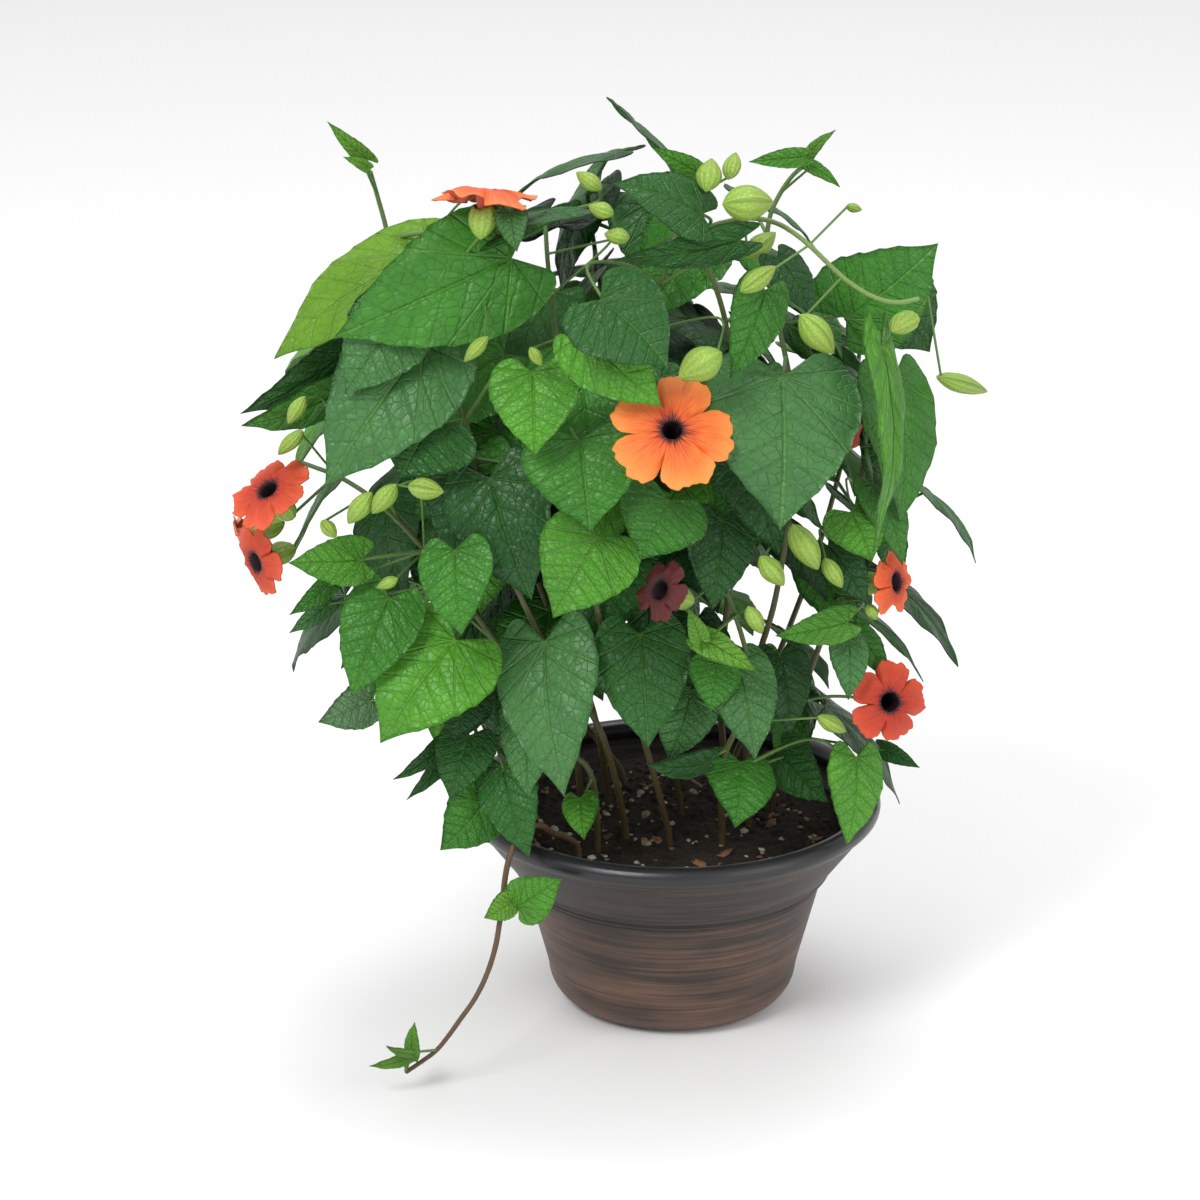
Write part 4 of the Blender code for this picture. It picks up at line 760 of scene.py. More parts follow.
room = Room()
for name, route in routes.items():
    room.add(route, name)
for name, (vine, pixel, lift, facing, reach) in FLOWERS.items():
    build = flower_build(name, routes[vine], in_picture(*pixel, lift), facing, reach)
    keep_flower(vine, build, name)
for name, (vine, place, facing, reach) in BACK_FLOWERS.items():
    out = unit((place[0], -place[1], 0.0))
    throat_at = lambda extra: np.array([place[0], -place[1], place[2]]) + out * extra
    keep_flower(vine, flower_build(name, routes[vine], throat_at, facing, reach), name)


def edge_faces(start, around, count):
    """Faces from a closed ring of points on one face of a sheet to the same ring on the other."""
    here = start + np.arange(around)
    after = start + (np.arange(around) + 1) % around
    return np.stack([here, here + count, after + count, after], axis=-1)


def put_corolla(skin, flower, tone, draw):
    """Rings from the tube's end to the edge of the lobes. A lobe's edge stands at its reach times a
    flat-topped wave of the angle, with a notch in its middle, and is finely waved. Each lobe bends
    back as the square of the way out, and tilts a little so that one overlaps the next."""
    around, rings = FLOWER_AROUND, FLOWER_RINGS
    angle = np.linspace(0, 2 * math.pi, around, endpoint=False)
    lobe = (angle * LOBES / (2 * math.pi)) % 1.0
    index = (angle * LOBES / (2 * math.pi)).astype(int)
    middle = np.abs(lobe - 0.5) * 2
    edge = 0.56 + 0.45 * (1 - middle ** 3.6) ** 0.50 - 0.05 * np.exp(-(middle / 0.20) ** 2)
    edge = edge * (1 + 0.018 * np.sin(angle * 23 + draw.uniform(0, 6)) + 0.012 * np.sin(angle * 41))
    tips = np.array([draw.uniform(0.93, 1.04) for _lobe in range(LOBES)])[index]
    bend = np.array([draw.uniform(-0.34, 0.0) for _lobe in range(LOBES)])[index]
    tube = np.array([(-TUBE_REACH, TUBE_RADIUS * 0.9), (-TUBE_REACH * 0.6, TUBE_RADIUS * 1.15),
                     (-TUBE_REACH * 0.3, 2.5), (-2.2, 3.2), (-0.7, THROAT_RADIUS * 0.97)])
    share = np.linspace(0.0, 1.0, rings - len(tube))
    reach = flower["reach"]
    radius = THROAT_RADIUS + (edge * tips * reach - THROAT_RADIUS)[None, :] * share[:, None]
    rise = (0.9 * np.sin(math.pi * np.minimum(share * 1.3, 1.0)))[:, None] * np.ones(around)
    rise = rise + bend[None, :] * reach * share[:, None] ** 2
    rise = rise + (lobe - 0.5)[None, :] * 1.5 * share[:, None] * (1 - middle[None, :] ** 6)
    rise = rise + 0.05 * reach * share[:, None] ** 2 * np.sin(lobe * 2 * math.pi * 2)[None, :] * 0.6
    rise = rise - 1.6 * (1 - middle[None, :] ** 2) * share[:, None] * (1 - share[:, None])
    rise = rise + 0.045 * reach * np.sin(angle * 13 + 1.0)[None, :] * share[:, None] ** 3 * 0.5
    radius = np.vstack([np.repeat(tube[:, 1:2], around, axis=1), radius])
    rise = np.vstack([np.repeat(tube[:, 0:1], around, axis=1), rise])
    out = flower["side"] * np.cos(angle)[:, None] + flower["over"] * np.sin(angle)[:, None]
    mid = flower["throat"] + radius[..., None] * out[None] + rise[..., None] * flower["facing"]
    inward = np.zeros_like(mid)
    inward[len(tube):] = flower["facing"] * PETAL_SHEET * 0.5
    inward[:len(tube)] = -out[None] * PETAL_SHEET * 0.5
    top = (mid + inward).reshape(-1, 3)
    below = (mid - inward).reshape(-1, 3)
    count = len(top)
    faces = grid_faces(rings, around, closed=True)
    rim = edge_faces((rings - 1) * around, around, count)[:, [0, 3, 2, 1]]
    ring = edge_faces(0, around, count)
    spread = np.concatenate([np.linspace(-0.5, -0.02, len(tube)), share])
    places = np.stack(np.meshgrid(spread, angle / (2 * math.pi), indexing="ij"), axis=-1).reshape(-1, 2)
    faded = np.minimum(np.array(tone) * 0.9 + 0.03, 1.0)
    skin.put(np.vstack([top, below]), np.vstack([faces, faces[:, ::-1] + count, rim, ring]),
             np.vstack([places, places + BACK_PLACE]),
             np.vstack([np.tile(tone, (count, 1)), np.tile(faded, (count, 1))]))


petals = Finish("petal", Roughness=0.55)
petal_place = petals.add("UVMap", {"uv_map": "pattern"})
raw_out, round_flower, _flat = petals.split(petal_place)
petal_back = ((raw_out - BACK_PLACE[0] / 2) * 10.0).clamp()
outward = raw_out - petal_back * BACK_PLACE[0]
streak_place = petals.add("CombineXYZ", None, {0: outward * 2.2, 1: round_flower * 60.0})
petal_streaks = petals.add("TexNoise", None, {"Vector": streak_place, "Scale": 1.4, "Detail": 4.0})
fine_place = petals.add("CombineXYZ", None, {0: outward * 3.0, 1: round_flower * 190.0})
fine_streaks = petals.add("TexNoise", None, {"Vector": fine_place, "Scale": 1.0, "Detail": 2.0})
petal_tone = petals.add("VertexColor", {"layer_name": "tone"})
red = petals.blend(1.0, petal_tone, (0.62, 0.16, 0.20), "MULTIPLY")
paler_edge = petals.blend(1.0, petal_tone, (1.22, 1.75, 2.2), "MULTIPLY")
near_throat = (1.0 - (outward - 0.06) * 2.1).clamp()
streak_share = (petal_streaks - 0.50) * 2.6 * (1.0 - outward * 0.75)
redness = (near_throat * 0.80 + streak_share + (fine_streaks - 0.5) * 0.5).clamp()
at_edge = ((outward - 0.60) * 2.4).clamp() * 0.85
flame = petals.blend(at_edge, petals.blend(redness, petal_tone, red), paler_edge)
throat_dark = (1.0 - (outward - 0.03 - (petal_streaks - 0.5) * 0.55) * 9.0).clamp()
inside = petals.blend(throat_dark, flame, (0.010, 0.001, 0.004))
outside = petals.blend((fine_streaks * 0.5).clamp(), petal_tone, red)
petals.send("Base Color", petals.blend(petal_back, inside, outside))
petals.send("Roughness", 0.62 - throat_dark * 0.15)
petals.bump(fine_streaks * 0.6 + petal_streaks * 0.5, 0.0009, 0.7)


# The leaves: soft heart-shaped to arrow-shaped blades with a few coarse teeth, quilted between
# veins that fan out from the stalk, each grown from a stem on its own stalk. Both faces are made,
# and the sheet is thinner than in the solids.
LEAF_SHEET = 0.42
LEAF_RINGS = 12
PLAIN_RINGS = 6
EDGE_BOW = [0.10, 0.09, 0.07, 0.04, -0.02]
EDGE_STEPS = [4, 6, 8, 8, 6]
TOOTH_REACH = [0.0, 0.045, 0.062, 0.048, 0.0]
STALK_TONE = (0.110, 0.230, 0.045)
STALK_HAIRS_PER_MM = 0.7
LONG_LEAF = 25.0
FILL_STALK = 75.0
CELLS = 17.0
# Main veins on each side of a leaf: degrees from the midrib, width as a share of the length
MIDRIB = (0.0, 0.016)
SIDE_VEINS = [(66.0, 0.012), (100.0, 0.010), (131.0, 0.009), (36.0, 0.011)]
TONES = {
    "mid": (0.042, 0.208, 0.013),
    # grey-green: partly the leaf's own colour, partly a painted sheen of reflected light
    "grey": (0.064, 0.208, 0.050),
    # darker green: partly the leaves' own dark green, partly painted shade for leaves inside and behind
    # the crown
    "dark": (0.012, 0.078, 0.010),
    "deep": (0.020, 0.118, 0.012),
    "bright": (0.082, 0.305, 0.016),
    # painted back-light: the yellow-green of a leaf lit through from behind, put into its colour
    "glow": (0.130, 0.300, 0.004),
    # pale grey-blue green: partly the leaf's own colour, partly a painted sheen of reflected light
    "pale": (0.150, 0.300, 0.130),
    "young": (0.150, 0.400, 0.030),
}

# Leaf outline, one side: share of length from the stalk end, share of the half width
HALF_OUTLINE = [(-0.16, 0.40), (-0.07, 0.84), (0.20, 1.0), (0.50, 0.78), (0.78, 0.38)]
SMALL_LEAF = 26.0
BLADE_ARCH = 0.09
BLADE_CUP = 0.16
BLADE_FOLD = 0.10

# Leaves read from the picture: vine, leaf-stalk end, tip, lift off the crown, tip forward of the
# stalk end, width (all but the pixels in mm), roll in degrees, tone
LEAVES = {
    "top_left_big": ("vine_top_left", (512, 258), (334, 337), 0, 12, 50, 25, "mid"),
    # a leaf lit from behind: its glow is painted back-light in its colour
    "top_left_glow": ("vine_top_left", (430, 256), (275, 360), -16, 8, 50, -20, "glow"),
    "top_left_small": ("vine_top_left", (510, 212), (517, 252), 10, 8, 12, 0, "grey"),
    "top_left_edge_on": ("vine_top_left", (498, 236), (611, 214), -4, 0, 24, 50, "deep"),
    "left_wet": ("vine_top_left", (402, 312), (345, 395), 4, 10, 34, 20, "grey"),
    "left_pale_large": ("vine_top_left", (425, 345), (325, 487), 0, 16, 50, 10, "grey"),
    "left_edge_upper": ("vine_top_left", (345, 352), (240, 413), -14, 4, 20, 60, "deep"),
    "left_edge_lower": ("vine_top_left", (338, 392), (241, 425), -18, 4, 20, 62, "mid"),
    "shoot_tip_a": ("vine_top_left", (368, 160), (327, 121), 0, 2, 7, 20, "young"),
    "shoot_tip_b": ("vine_top_left", (369, 168), (343, 157), 4, 3, 5, 0, "young"),
    "left_hand": ("vine_left", (362, 560), (288, 563), 2, 6, 20, 0, "bright"),
    "left_narrow_a": ("vine_left", (332, 582), (289, 615), -4, 4, 9, 30, "mid"),
    "left_narrow_b": ("vine_left", (332, 600), (289, 633), -10, 3, 9, 30, "grey"),
    "left_low": ("vine_left", (390, 598), (352, 697), 4, 14, 32, 10, "mid"),
    "left_pale_back": ("vine_left", (372, 700), (318, 722), -14, 6, 20, 10, "pale"),
    "left_glossy": ("vine_left", (456, 640), (380, 743), 6, 16, 48, -10, "bright"),
    "mid_left_lower": ("vine_mid_left", (455, 550), (462, 636), 6, 14, 30, 0, "mid"),
    "mid_left_broad": ("vine_mid_left", (432, 421), (400, 478), -10, 8, 42, 15, "deep"),
    "mid_left_dark_a": ("vine_mid_left", (490, 478), (532, 600), -14, 14, 42, 0, "dark"),
    "mid_left_dark_b": ("vine_mid_left", (480, 475), (452, 566), -16, 12, 38, 0, "dark"),
    "centre_heart": ("vine_mid_left", (533, 372), (535, 456), 6, 14, 34, 5, "bright"),
    "centre_low_large": ("vine_centre", (545, 641), (565, 797), 4, 24, 44, -12, "grey"),
    "centre_bright": ("vine_centre", (598, 537), (553, 618), 8, 16, 40, 0, "bright"),
    "centre_quilted": ("vine_centre", (580, 440), (590, 532), 2, 18, 46, 5, "mid"),
    "centre_folded": ("vine_centre", (583, 333), (662, 407), 2, 12, 32, -15, "bright"),
    "centre_smooth": ("vine_top", (600, 300), (668, 368), 4, 8, 44, 20, "deep"),
    "top_quilted": ("vine_top", (702, 214), (612, 183), 10, 6, 26, -10, "deep"),
    "top_narrow": ("vine_top", (740, 240), (612, 260), -2, 2, 16, 40, "deep"),
    "top_sliver": ("vine_top", (700, 174), (651, 147), 0, 2, 9, 20, "bright"),
    "upper_margined": ("vine_right", (765, 290), (730, 378), 4, 12, 24, 20, "mid"),
    "upper_dark": ("vine_right", (778, 258), (812, 318), -8, 8, 20, 20, "dark"),
    "shoot_toothed_a": ("vine_right", (803, 157), (748, 162), 0, 2, 8, 20, "bright"),
    "shoot_toothed_b": ("vine_right", (806, 158), (836, 130), 0, 2, 6, 20, "young"),
    "shoot_toothed_c": ("vine_right", (806, 163), (840, 187), 3, 3, 6, 0, "bright"),
    "right_top_big": ("vine_long_shoot", (846, 318), (938, 243), -6, 0, 44, -20, "mid"),
    "right_top_under": ("vine_far_right", (880, 290), (930, 352), -8, 8, 40, -10, "deep"),
    "hero": ("vine_right", (782, 377), (780, 530), 8, 22, 62, 0, "grey"),
    "hero_behind": ("vine_right", (742, 452), (779, 556), -10, 14, 30, 0, "dark"),
    "right_upright": ("vine_far_right", (881, 347), (871, 552), 20, 22, 24, 40, "bright"),
    "far_right_large": ("vine_far_right", (893, 380), (900, 523), -2, 14, 40, 20, "mid"),
    "far_right_low": ("vine_far_right", (873, 485), (902, 565), -8, 8, 22, 20, "mid"),
    "right_light": ("vine_far_right", (850, 512), (872, 562), 2, 8, 26, 0, "bright"),
    "right_dark": ("vine_far_right", (828, 545), (868, 605), 0, 8, 20, 0, "dark"),
    "centre_right_quilted": ("vine_low_right", (669, 500), (640, 560), 0, 12, 36, 0, "mid"),
    "centre_right_dark": ("vine_low_right", (722, 520), (712, 610), -8, 12, 28, 0, "dark"),
    "low_right_a": ("vine_far_right", (848, 622), (775, 636), -2, 4, 15, 0, "bright"),
    "low_right_b": ("vine_far_right", (848, 640), (848, 700), 2, 8, 17, 0, "grey"),
    "low_right_c": ("vine_far_right", (856, 632), (888, 680), -8, 6, 14, 10, "mid"),
    "rim_right": ("vine_low_right", (856, 757), (846, 845), 8, 10, 26, 5, "bright"),
    "rim_blue": ("vine_low_right", (780, 752), (828, 803), 0, 12, 22, -10, "deep"),
    "rim_round": ("vine_low_right", (740, 762), (735, 828), 4, 18, 32, 0, "mid"),
    "rim_dark": ("vine_low_right", (708, 762), (646, 764), 0, 6, 16, 20, "dark"),
    "low_grey": ("vine_low_right", (735, 662), (755, 760), 4, 16, 30, 10, "grey"),
    "low_behind": ("vine_low_right", (780, 655), (790, 735), -14, 10, 24, 0, "dark"),
    "low_quilted": ("vine_low_right", (716, 664), (710, 712), 0, 10, 22, 0, "mid"),
    "low_bright": ("vine_low_right", (700, 638), (757, 672), 10, 8, 12, 20, "young"),
    "low_pale_small": ("vine_low_right", (701, 640), (688, 608), 8, 2, 8, 0, "young"),
    "inner_grey_a": ("vine_centre", (640, 634), (648, 748), -8, 12, 38, 0, "deep"),
    "inner_grey_b": ("vine_low_right", (690, 690), (668, 762), -14, 12, 28, 0, "grey"),
    "far_low_narrow": ("vine_far_right", (880, 748), (920, 768), -16, 4, 8, 20, "deep"),
    "rim_left_round": ("vine_low_left", (488, 796), (440, 850), 8, 10, 30, 15, "mid"),
    "rim_left_grey": ("vine_low_left", (503, 766), (530, 858), 6, 14, 26, 0, "deep"),
    "rim_left_behind": ("vine_low_left", (530, 700), (528, 800), -12, 14, 24, 0, "grey"),
    "rim_left_narrow_a": ("vine_low_left", (450, 738), (393, 780), -10, 4, 9, 20, "deep"),
    "rim_left_narrow_b": ("vine_low_left", (456, 744), (406, 800), -14, 4, 9, 20, "deep"),
    "rim_left_olive": ("vine_low_left", (470, 735), (450, 800), 0, 10, 24, 0, "deep"),
    "rim_left_dark": ("vine_low_left", (468, 696), (455, 742), -10, 8, 22, 0, "dark"),
    "rim_bright_small": ("vine_low_left", (580, 798), (584, 840), 4, 10, 15, 0, "bright"),
    "trail_bright": ("vine_trailing", (519, 906), (562, 878), 58, 4, 20, 20, "bright"),
    "trail_bright_left": ("vine_trailing", (511, 902), (484, 918), 60, 3, 12, 0, "young"),
    "trail_tip_a": ("vine_trailing", (412, 1056), (415, 1022), 74, -6, 7, 20, "young"),
    "trail_tip_b": ("vine_trailing", (411, 1057), (369, 1066), 80, 3, 6, 0, "young"),
    "trail_tip_c": ("vine_trailing", (411, 1054), (386, 1046), 80, 0, 5, 10, "young"),
}


class Blade:
    """A leaf blade: its base, tip, width and the way its upper face looks."""

    def __init__(self, base, tip, width, facing, roll):
        self.base = np.asarray(base, dtype=float)
        self.length = float(np.linalg.norm(tip - self.base))
        self.plain = self.length < SMALL_LEAF
        self.half = width / 2
        self.along = unit(tip - self.base)
        face = facing - self.along * float(np.dot(facing, self.along))
        face = unit(face)
        side = np.cross(face, self.along)
        turn = math.radians(roll)
        self.face = face * math.cos(turn) + side * math.sin(turn)
        self.side = np.cross(self.along, self.face)

    def at(self, t, s):
        """The points at shares t of the length and s of the half width, arched, cupped and folded."""
        t = np.asarray(t, dtype=float)
        s = np.asarray(s, dtype=float)
        rise = BLADE_ARCH * self.length * np.sin(math.pi * np.clip(t, -0.2, 1.0))
        rise = rise + self.half * (BLADE_FOLD * np.abs(s) - BLADE_CUP * s * s)
        return (self.base + np.multiply.outer(t * self.length, self.along)
                + np.multiply.outer(s * self.half, self.side) + np.multiply.outer(rise, self.face))

    def samples(self):
        """Points about 4 mm apart over the blade, for finding what it would touch."""
        outline = np.array([(0.0, 0.0)] + HALF_OUTLINE + [(1.0, 0.0)])
        rows = max(4, int(self.length * 1.15 / 4))
        columns = max(2, int(self.half / 4) + 1)
        found = []
        for t in np.linspace(-0.12, 1.0, rows):
            reach = np.interp(t, outline[2:, 0], outline[2:, 1])
            found += [(t, s * reach) for s in np.linspace(-1, 1, 2 * columns + 1)]
        found = np.array(found)
        return self.at(found[:, 0], found[:, 1])


def leaf_build(route, base_at, tip_at, width, facing_at, roll):
    """A maker of one leaf for a given lift, with its stalk and its samples."""
    def build(lift, option):
        base = base_at(lift)
        tip = tip_at(lift)
        blade = Blade(base, tip, width, facing_at(base), roll)
        start = leave_point(route, base, option)
        stalk = stalk_route(start, base - blade.face * 0.3, blade.along, STALK_SINK)
        stalk[-1] = blade.at(STALK_SINK / blade.length, 0.0) - blade.face * 0.1
        trail = along_samples(stalk)
        from_stem = np.linalg.norm(trail - start, axis=1) > WALL_ROOM
        return {"blade": blade, "stalk": stalk, "samples": np.vstack([blade.samples(), trail[from_stem]])}
    return build


def keep_leaf(vine, base_at, tip_at, width, facing_at, roll, tone=None, crossings=None):
    """Place one leaf where it is clear. An extra one isn't kept where it crosses many of its own
    vine's leaves or hangs on a very long stalk."""
    made = lift_choices(room, vine, leaf_build(routes[vine], base_at, tip_at, width, facing_at, roll))
    if made is None:
        return
    if crossings is not None:
        if room.crowding(made["samples"], vine) > crossings:
            return
        if np.linalg.norm(made["stalk"][0] - made["blade"].base) > FILL_STALK:
            return
        made["blade"].plain = True
    made["tone"] = tone
    grown[vine]["leaves"].append(made)
    room.add(made["samples"], vine)


to_eye = np.array([0.0, -math.cos(VIEW_TILT), math.sin(VIEW_TILT)])
for vine, base, tip, lift, forward, width, roll, tone in LEAVES.values():
    middle = crown_front(*base) * 0.5 + crown_front(*tip) * 0.5 + lift
    base_at = lambda extra: seen(*base, middle + extra - forward / 2)
    tip_at = lambda extra: seen(*tip, middle + extra + forward / 2)
    facing_at = lambda at: unit(0.6 * to_eye + 0.4 * unit(at - CROWN_CENTRE))
    keep_leaf(vine, base_at, tip_at, width, facing_at, roll, tone)


def leaf_edge():
    """One side's edge from its lobe to its tip: straight sides between the outline's corners, each
    bowed out by a parabola, with a shallow saw wave of teeth that rises towards the tip and drops."""
    corners = np.array(HALF_OUTLINE + [(1.0, 0.0)])
    edge = []
    sides = zip(corners[:-1], corners[1:], EDGE_BOW, EDGE_STEPS, TOOTH_REACH)
    for first, last, bow, steps, tooth in sides:
        outward = np.array([first[1] - last[1], last[0] - first[0]])
        u = (np.arange(steps) / steps)[:, None]
        saw = (2.0 * u) % 1.0
        teeth = np.hstack([np.zeros_like(saw), tooth * (saw ** 1.6 - 0.3)])
        edge.append(first + (last - first) * u + outward * (bow * 4 * u * (1 - u)) + teeth)
    return np.vstack(edge + [corners[-1:]])


LEAF_EDGE = leaf_edge()
LEAF_RING = np.vstack([LEAF_EDGE * (1.0, -1.0), LEAF_EDGE[-2::-1]])
VEIN_STOPS = np.cumsum([0] + EDGE_STEPS)
VEIN_COLUMNS = [0, VEIN_STOPS[1], VEIN_STOPS[2], VEIN_STOPS[5]]


def between_veins():
    """For each column of a leaf's grid, 0 on a main vein and up to 1 midway between two."""
    columns = len(LEAF_RING)
    stops = sorted(set(VEIN_COLUMNS) | {columns - 1 - k for k in VEIN_COLUMNS})
    rise = np.zeros(columns)
    for a, b in zip(stops[:-1], stops[1:]):
        rise[a:b + 1] = np.sin(np.pi * np.linspace(0, 1, b - a + 1)) ** 0.6
    return rise


def put_leaf(skin, blade, tone, draw, quilt):
    """A blade: rings from the stalk's end to the edge, bent as the solid is, puffed between its
    veins, waved a little along its edge, and given both faces and a rim."""
    rings = PLAIN_RINGS if blade.plain else LEAF_RINGS
    share = np.linspace(0.0, 1.0, rings + 1)[1:]
    t = np.outer(share, LEAF_RING[:, 0])
    s = np.outer(share, LEAF_RING[:, 1])
    mid = blade.at(t.ravel(), s.ravel()).reshape(rings, -1, 3)
    size = blade.length
    lateral = np.abs(np.sin(math.pi * 4.0 * (t - 0.45 * np.abs(s)) + draw.uniform(0, 1)))
    puff = between_veins()[None, :] * (0.35 + 0.65 * lateral) * np.sin(math.pi * share[:, None]) ** 0.5
    wave = np.sin(np.arange(len(LEAF_RING)) * draw.uniform(0.5, 0.8) + draw.uniform(0, 6.3))
    lift = puff * quilt * size + (share[:, None] ** 3) * wave[None, :] * 0.010 * size
    twist = draw.uniform(-0.035, 0.035) * size * s * np.clip(t, 0, 1)
    mid = mid + (lift + twist)[..., None] * blade.face
    centre = blade.at(np.array([0.0]), np.array([0.0]))
    columns = mid.shape[1]
    flat = np.vstack([centre, mid.reshape(-1, 3)])
    count = len(flat)
    faces = grid_faces(rings, columns, start=1)
    fan = np.arange(columns - 1)
    first = np.stack([np.zeros_like(fan), fan + 2, fan + 1, fan + 1], axis=-1)
    faces = np.vstack([faces, first])
    edge_loop = np.concatenate([[0], 1 + np.arange(rings) * columns,
                                1 + (rings - 1) * columns + np.arange(1, columns),
                                (1 + np.arange(rings) * columns + columns - 1)[-2::-1]])
    after = np.roll(edge_loop, -1)
    rim = np.stack([edge_loop, edge_loop + count, after + count, after], axis=-1)
    under = faces[:, ::-1] + count
    triangles = under[:, 0] == under[:, 1]
    under[triangles] = under[triangles][:, [1, 2, 3, 3]]
    places = np.vstack([[0.0, 0.0], np.stack([t, s * 0.45], axis=-1).reshape(-1, 2)])
    sheet = blade.face * LEAF_SHEET * 0.5
    pale = np.minimum(np.array(tone) * 1.25 + 0.035, 1.0)
    skin.put(np.vstack([flat + sheet, flat - sheet]), np.vstack([faces, under, rim]),
             np.vstack([places, places + BACK_PLACE]),
             np.vstack([np.tile(tone, (count, 1)), np.tile(pale, (count, 1))]), BLADE_FINISH)


foliage = Finish("leaf_blade", Roughness=0.45, Specular_IOR_Level=0.38)
pattern = foliage.add("UVMap", {"uv_map": "pattern"})
spot = foliage.add("TexCoord", None, None, out=3)
raw_along, across_leaf, _flat = foliage.split(pattern)
underside = ((raw_along - BACK_PLACE[0] / 2) * 10.0).clamp()
along_leaf = raw_along - underside * BACK_PLACE[0]
off_rib = across_leaf.math("ABSOLUTE")


def main_vein(degrees, width):
    """1 on a straight vein that leaves the stalk's end at an angle from the midrib, fading out."""
    x, y = math.cos(math.radians(degrees)), math.sin(math.radians(degrees))
    aside = (along_leaf * y - off_rib * x).math("ABSOLUTE")
    behind = (along_leaf * -x - off_rib * y).clamp()
    return (1.0 - (aside + behind * 8.0) / width).clamp()


veins = main_vein(*MIDRIB)
for side_vein in SIDE_VEINS:
    veins = veins.math("MAXIMUM", main_vein(*side_vein))
rows_of_laterals = ((along_leaf - off_rib * 0.62) * 6.5).math("FRACT")
laterals = (1.0 - (rows_of_laterals - 0.5).math("ABSOLUTE") * 9.0).clamp()
net = foliage.add("TexVoronoi", {"feature": "DISTANCE_TO_EDGE"}, {"Vector": pattern, "Scale": CELLS})
net_line = (1.0 - net * 13.0).clamp()
pucker = foliage.add("TexVoronoi", {"feature": "SMOOTH_F1"}, {"Vector": pattern, "Scale": CELLS})
grain = foliage.add("TexNoise", None, {"Vector": spot, "Scale": 1400.0, "Detail": 3.0})
cloud = foliage.add("TexNoise", None, {"Vector": spot, "Scale": 60.0, "Detail": 3.0})
own_tone = foliage.add("VertexColor", {"layer_name": "tone"})
deeper = foliage.blend(0.34, own_tone, (0.004, 0.050, 0.010))
varied = foliage.blend(((cloud - 0.38) * 2.6).clamp(), deeper, own_tone)
paler = foliage.blend(0.30, own_tone, (0.30, 0.50, 0.16))
# painted shade in the creases of the quilting: darker green along the lateral veins and the net lines,
# where the bump sinks them
groove = foliage.blend(0.40, own_tone, (0.004, 0.045, 0.008))
puffed = foliage.blend((laterals * 0.35 + net_line * 0.30).clamp(), varied, groove)
lined = foliage.blend((veins * 0.70).clamp(), puffed, paler)
foliage.send("Base Color", foliage.blend(grain * 0.16, lined, own_tone))
foliage.send("Roughness", 0.34 + cloud * 0.20 + underside * 0.22 - pucker * 0.10)
relief = pucker * -0.55 - veins * 0.8 - laterals * 0.45 - net_line * 0.22 + grain * 0.07
foliage.bump(relief * (1.0 - underside * 1.7), 0.0012, 0.85)


# The buds: each is wrapped in a pair of pale green ribbed bracts that meet edge to edge, on a thin
# stalk of its own. The same bracts, opened out, are the cup that a flower sits in.
BRACT_TONE = (0.300, 0.470, 0.070)
BRACT_ROWS = 13
BRACT_AROUND = 24

# Buds in their pale ribbed bracts: vine, root pixel, tip pixel, lift, thickness in mm
BUDS = {
    "left_a": ("vine_left", (305, 396), (288, 424), 4, 6),
    "left_b": ("vine_left", (303, 430), (278, 455), 0, 6),
    "left_c": ("vine_left", (372, 492), (348, 524), 8, 8),
    "left_d": ("vine_left", (396, 484), (372, 514), 6, 8),
    "left_e": ("vine_left", (408, 486), (444, 492), 12, 9),
    "left_f": ("vine_left", (322, 520), (336, 538), 10, 6),
    "left_g": ("vine_left", (398, 578), (377, 588), 6, 5),
    "mid_a": ("vine_top_left", (488, 336), (464, 362), 8, 6),
    "mid_b": ("vine_centre", (530, 347), (542, 366), 8, 5),
    "top_a": ("vine_centre", (602, 190), (576, 172), 4, 7),
    "top_b": ("vine_centre", (614, 214), (588, 206), 8, 7),
    "top_c": ("vine_centre", (630, 238), (604, 234), 4, 7),
    "top_d": ("vine_top", (706, 192), (712, 158), 8, 8),
    "top_e": ("vine_top", (728, 180), (736, 152), 0, 6),
    "shoot_a": ("vine_long_shoot", (722, 204), (774, 202), 14, 15),
    "shoot_b": ("vine_long_shoot", (745, 258), (776, 232), -14, 9),
    "shoot_c": ("vine_long_shoot", (740, 292), (776, 266), 8, 9),
    "tendril_tip": ("vine_long_shoot", (846, 206), (862, 210), -12, 4),
    "oval": ("vine_top", (722, 352), (678, 378), 14, 14),
    "right_a": ("vine_long_shoot", (800, 314), (834, 354), 10, 12),
    "far_right": ("vine_long_shoot", (936, 376), (988, 392), 2, 8),
    "hairy": ("vine_long_shoot", (915, 314), (892, 332), 22, 9),
    "right_b": ("vine_right", (760, 556), (784, 586), 6, 9),
    "right_c": ("vine_right", (792, 524), (818, 570), 4, 11),
    "right_d": ("vine_far_right", (824, 558), (842, 588), 4, 7),
    "low_a": ("vine_low_right", (748, 606), (762, 634), 6, 7),
    "low_b": ("vine_far_right", (868, 604), (876, 620), 6, 5),
    "low_c": ("vine_low_right", (818, 716), (846, 732), 8, 7),
}


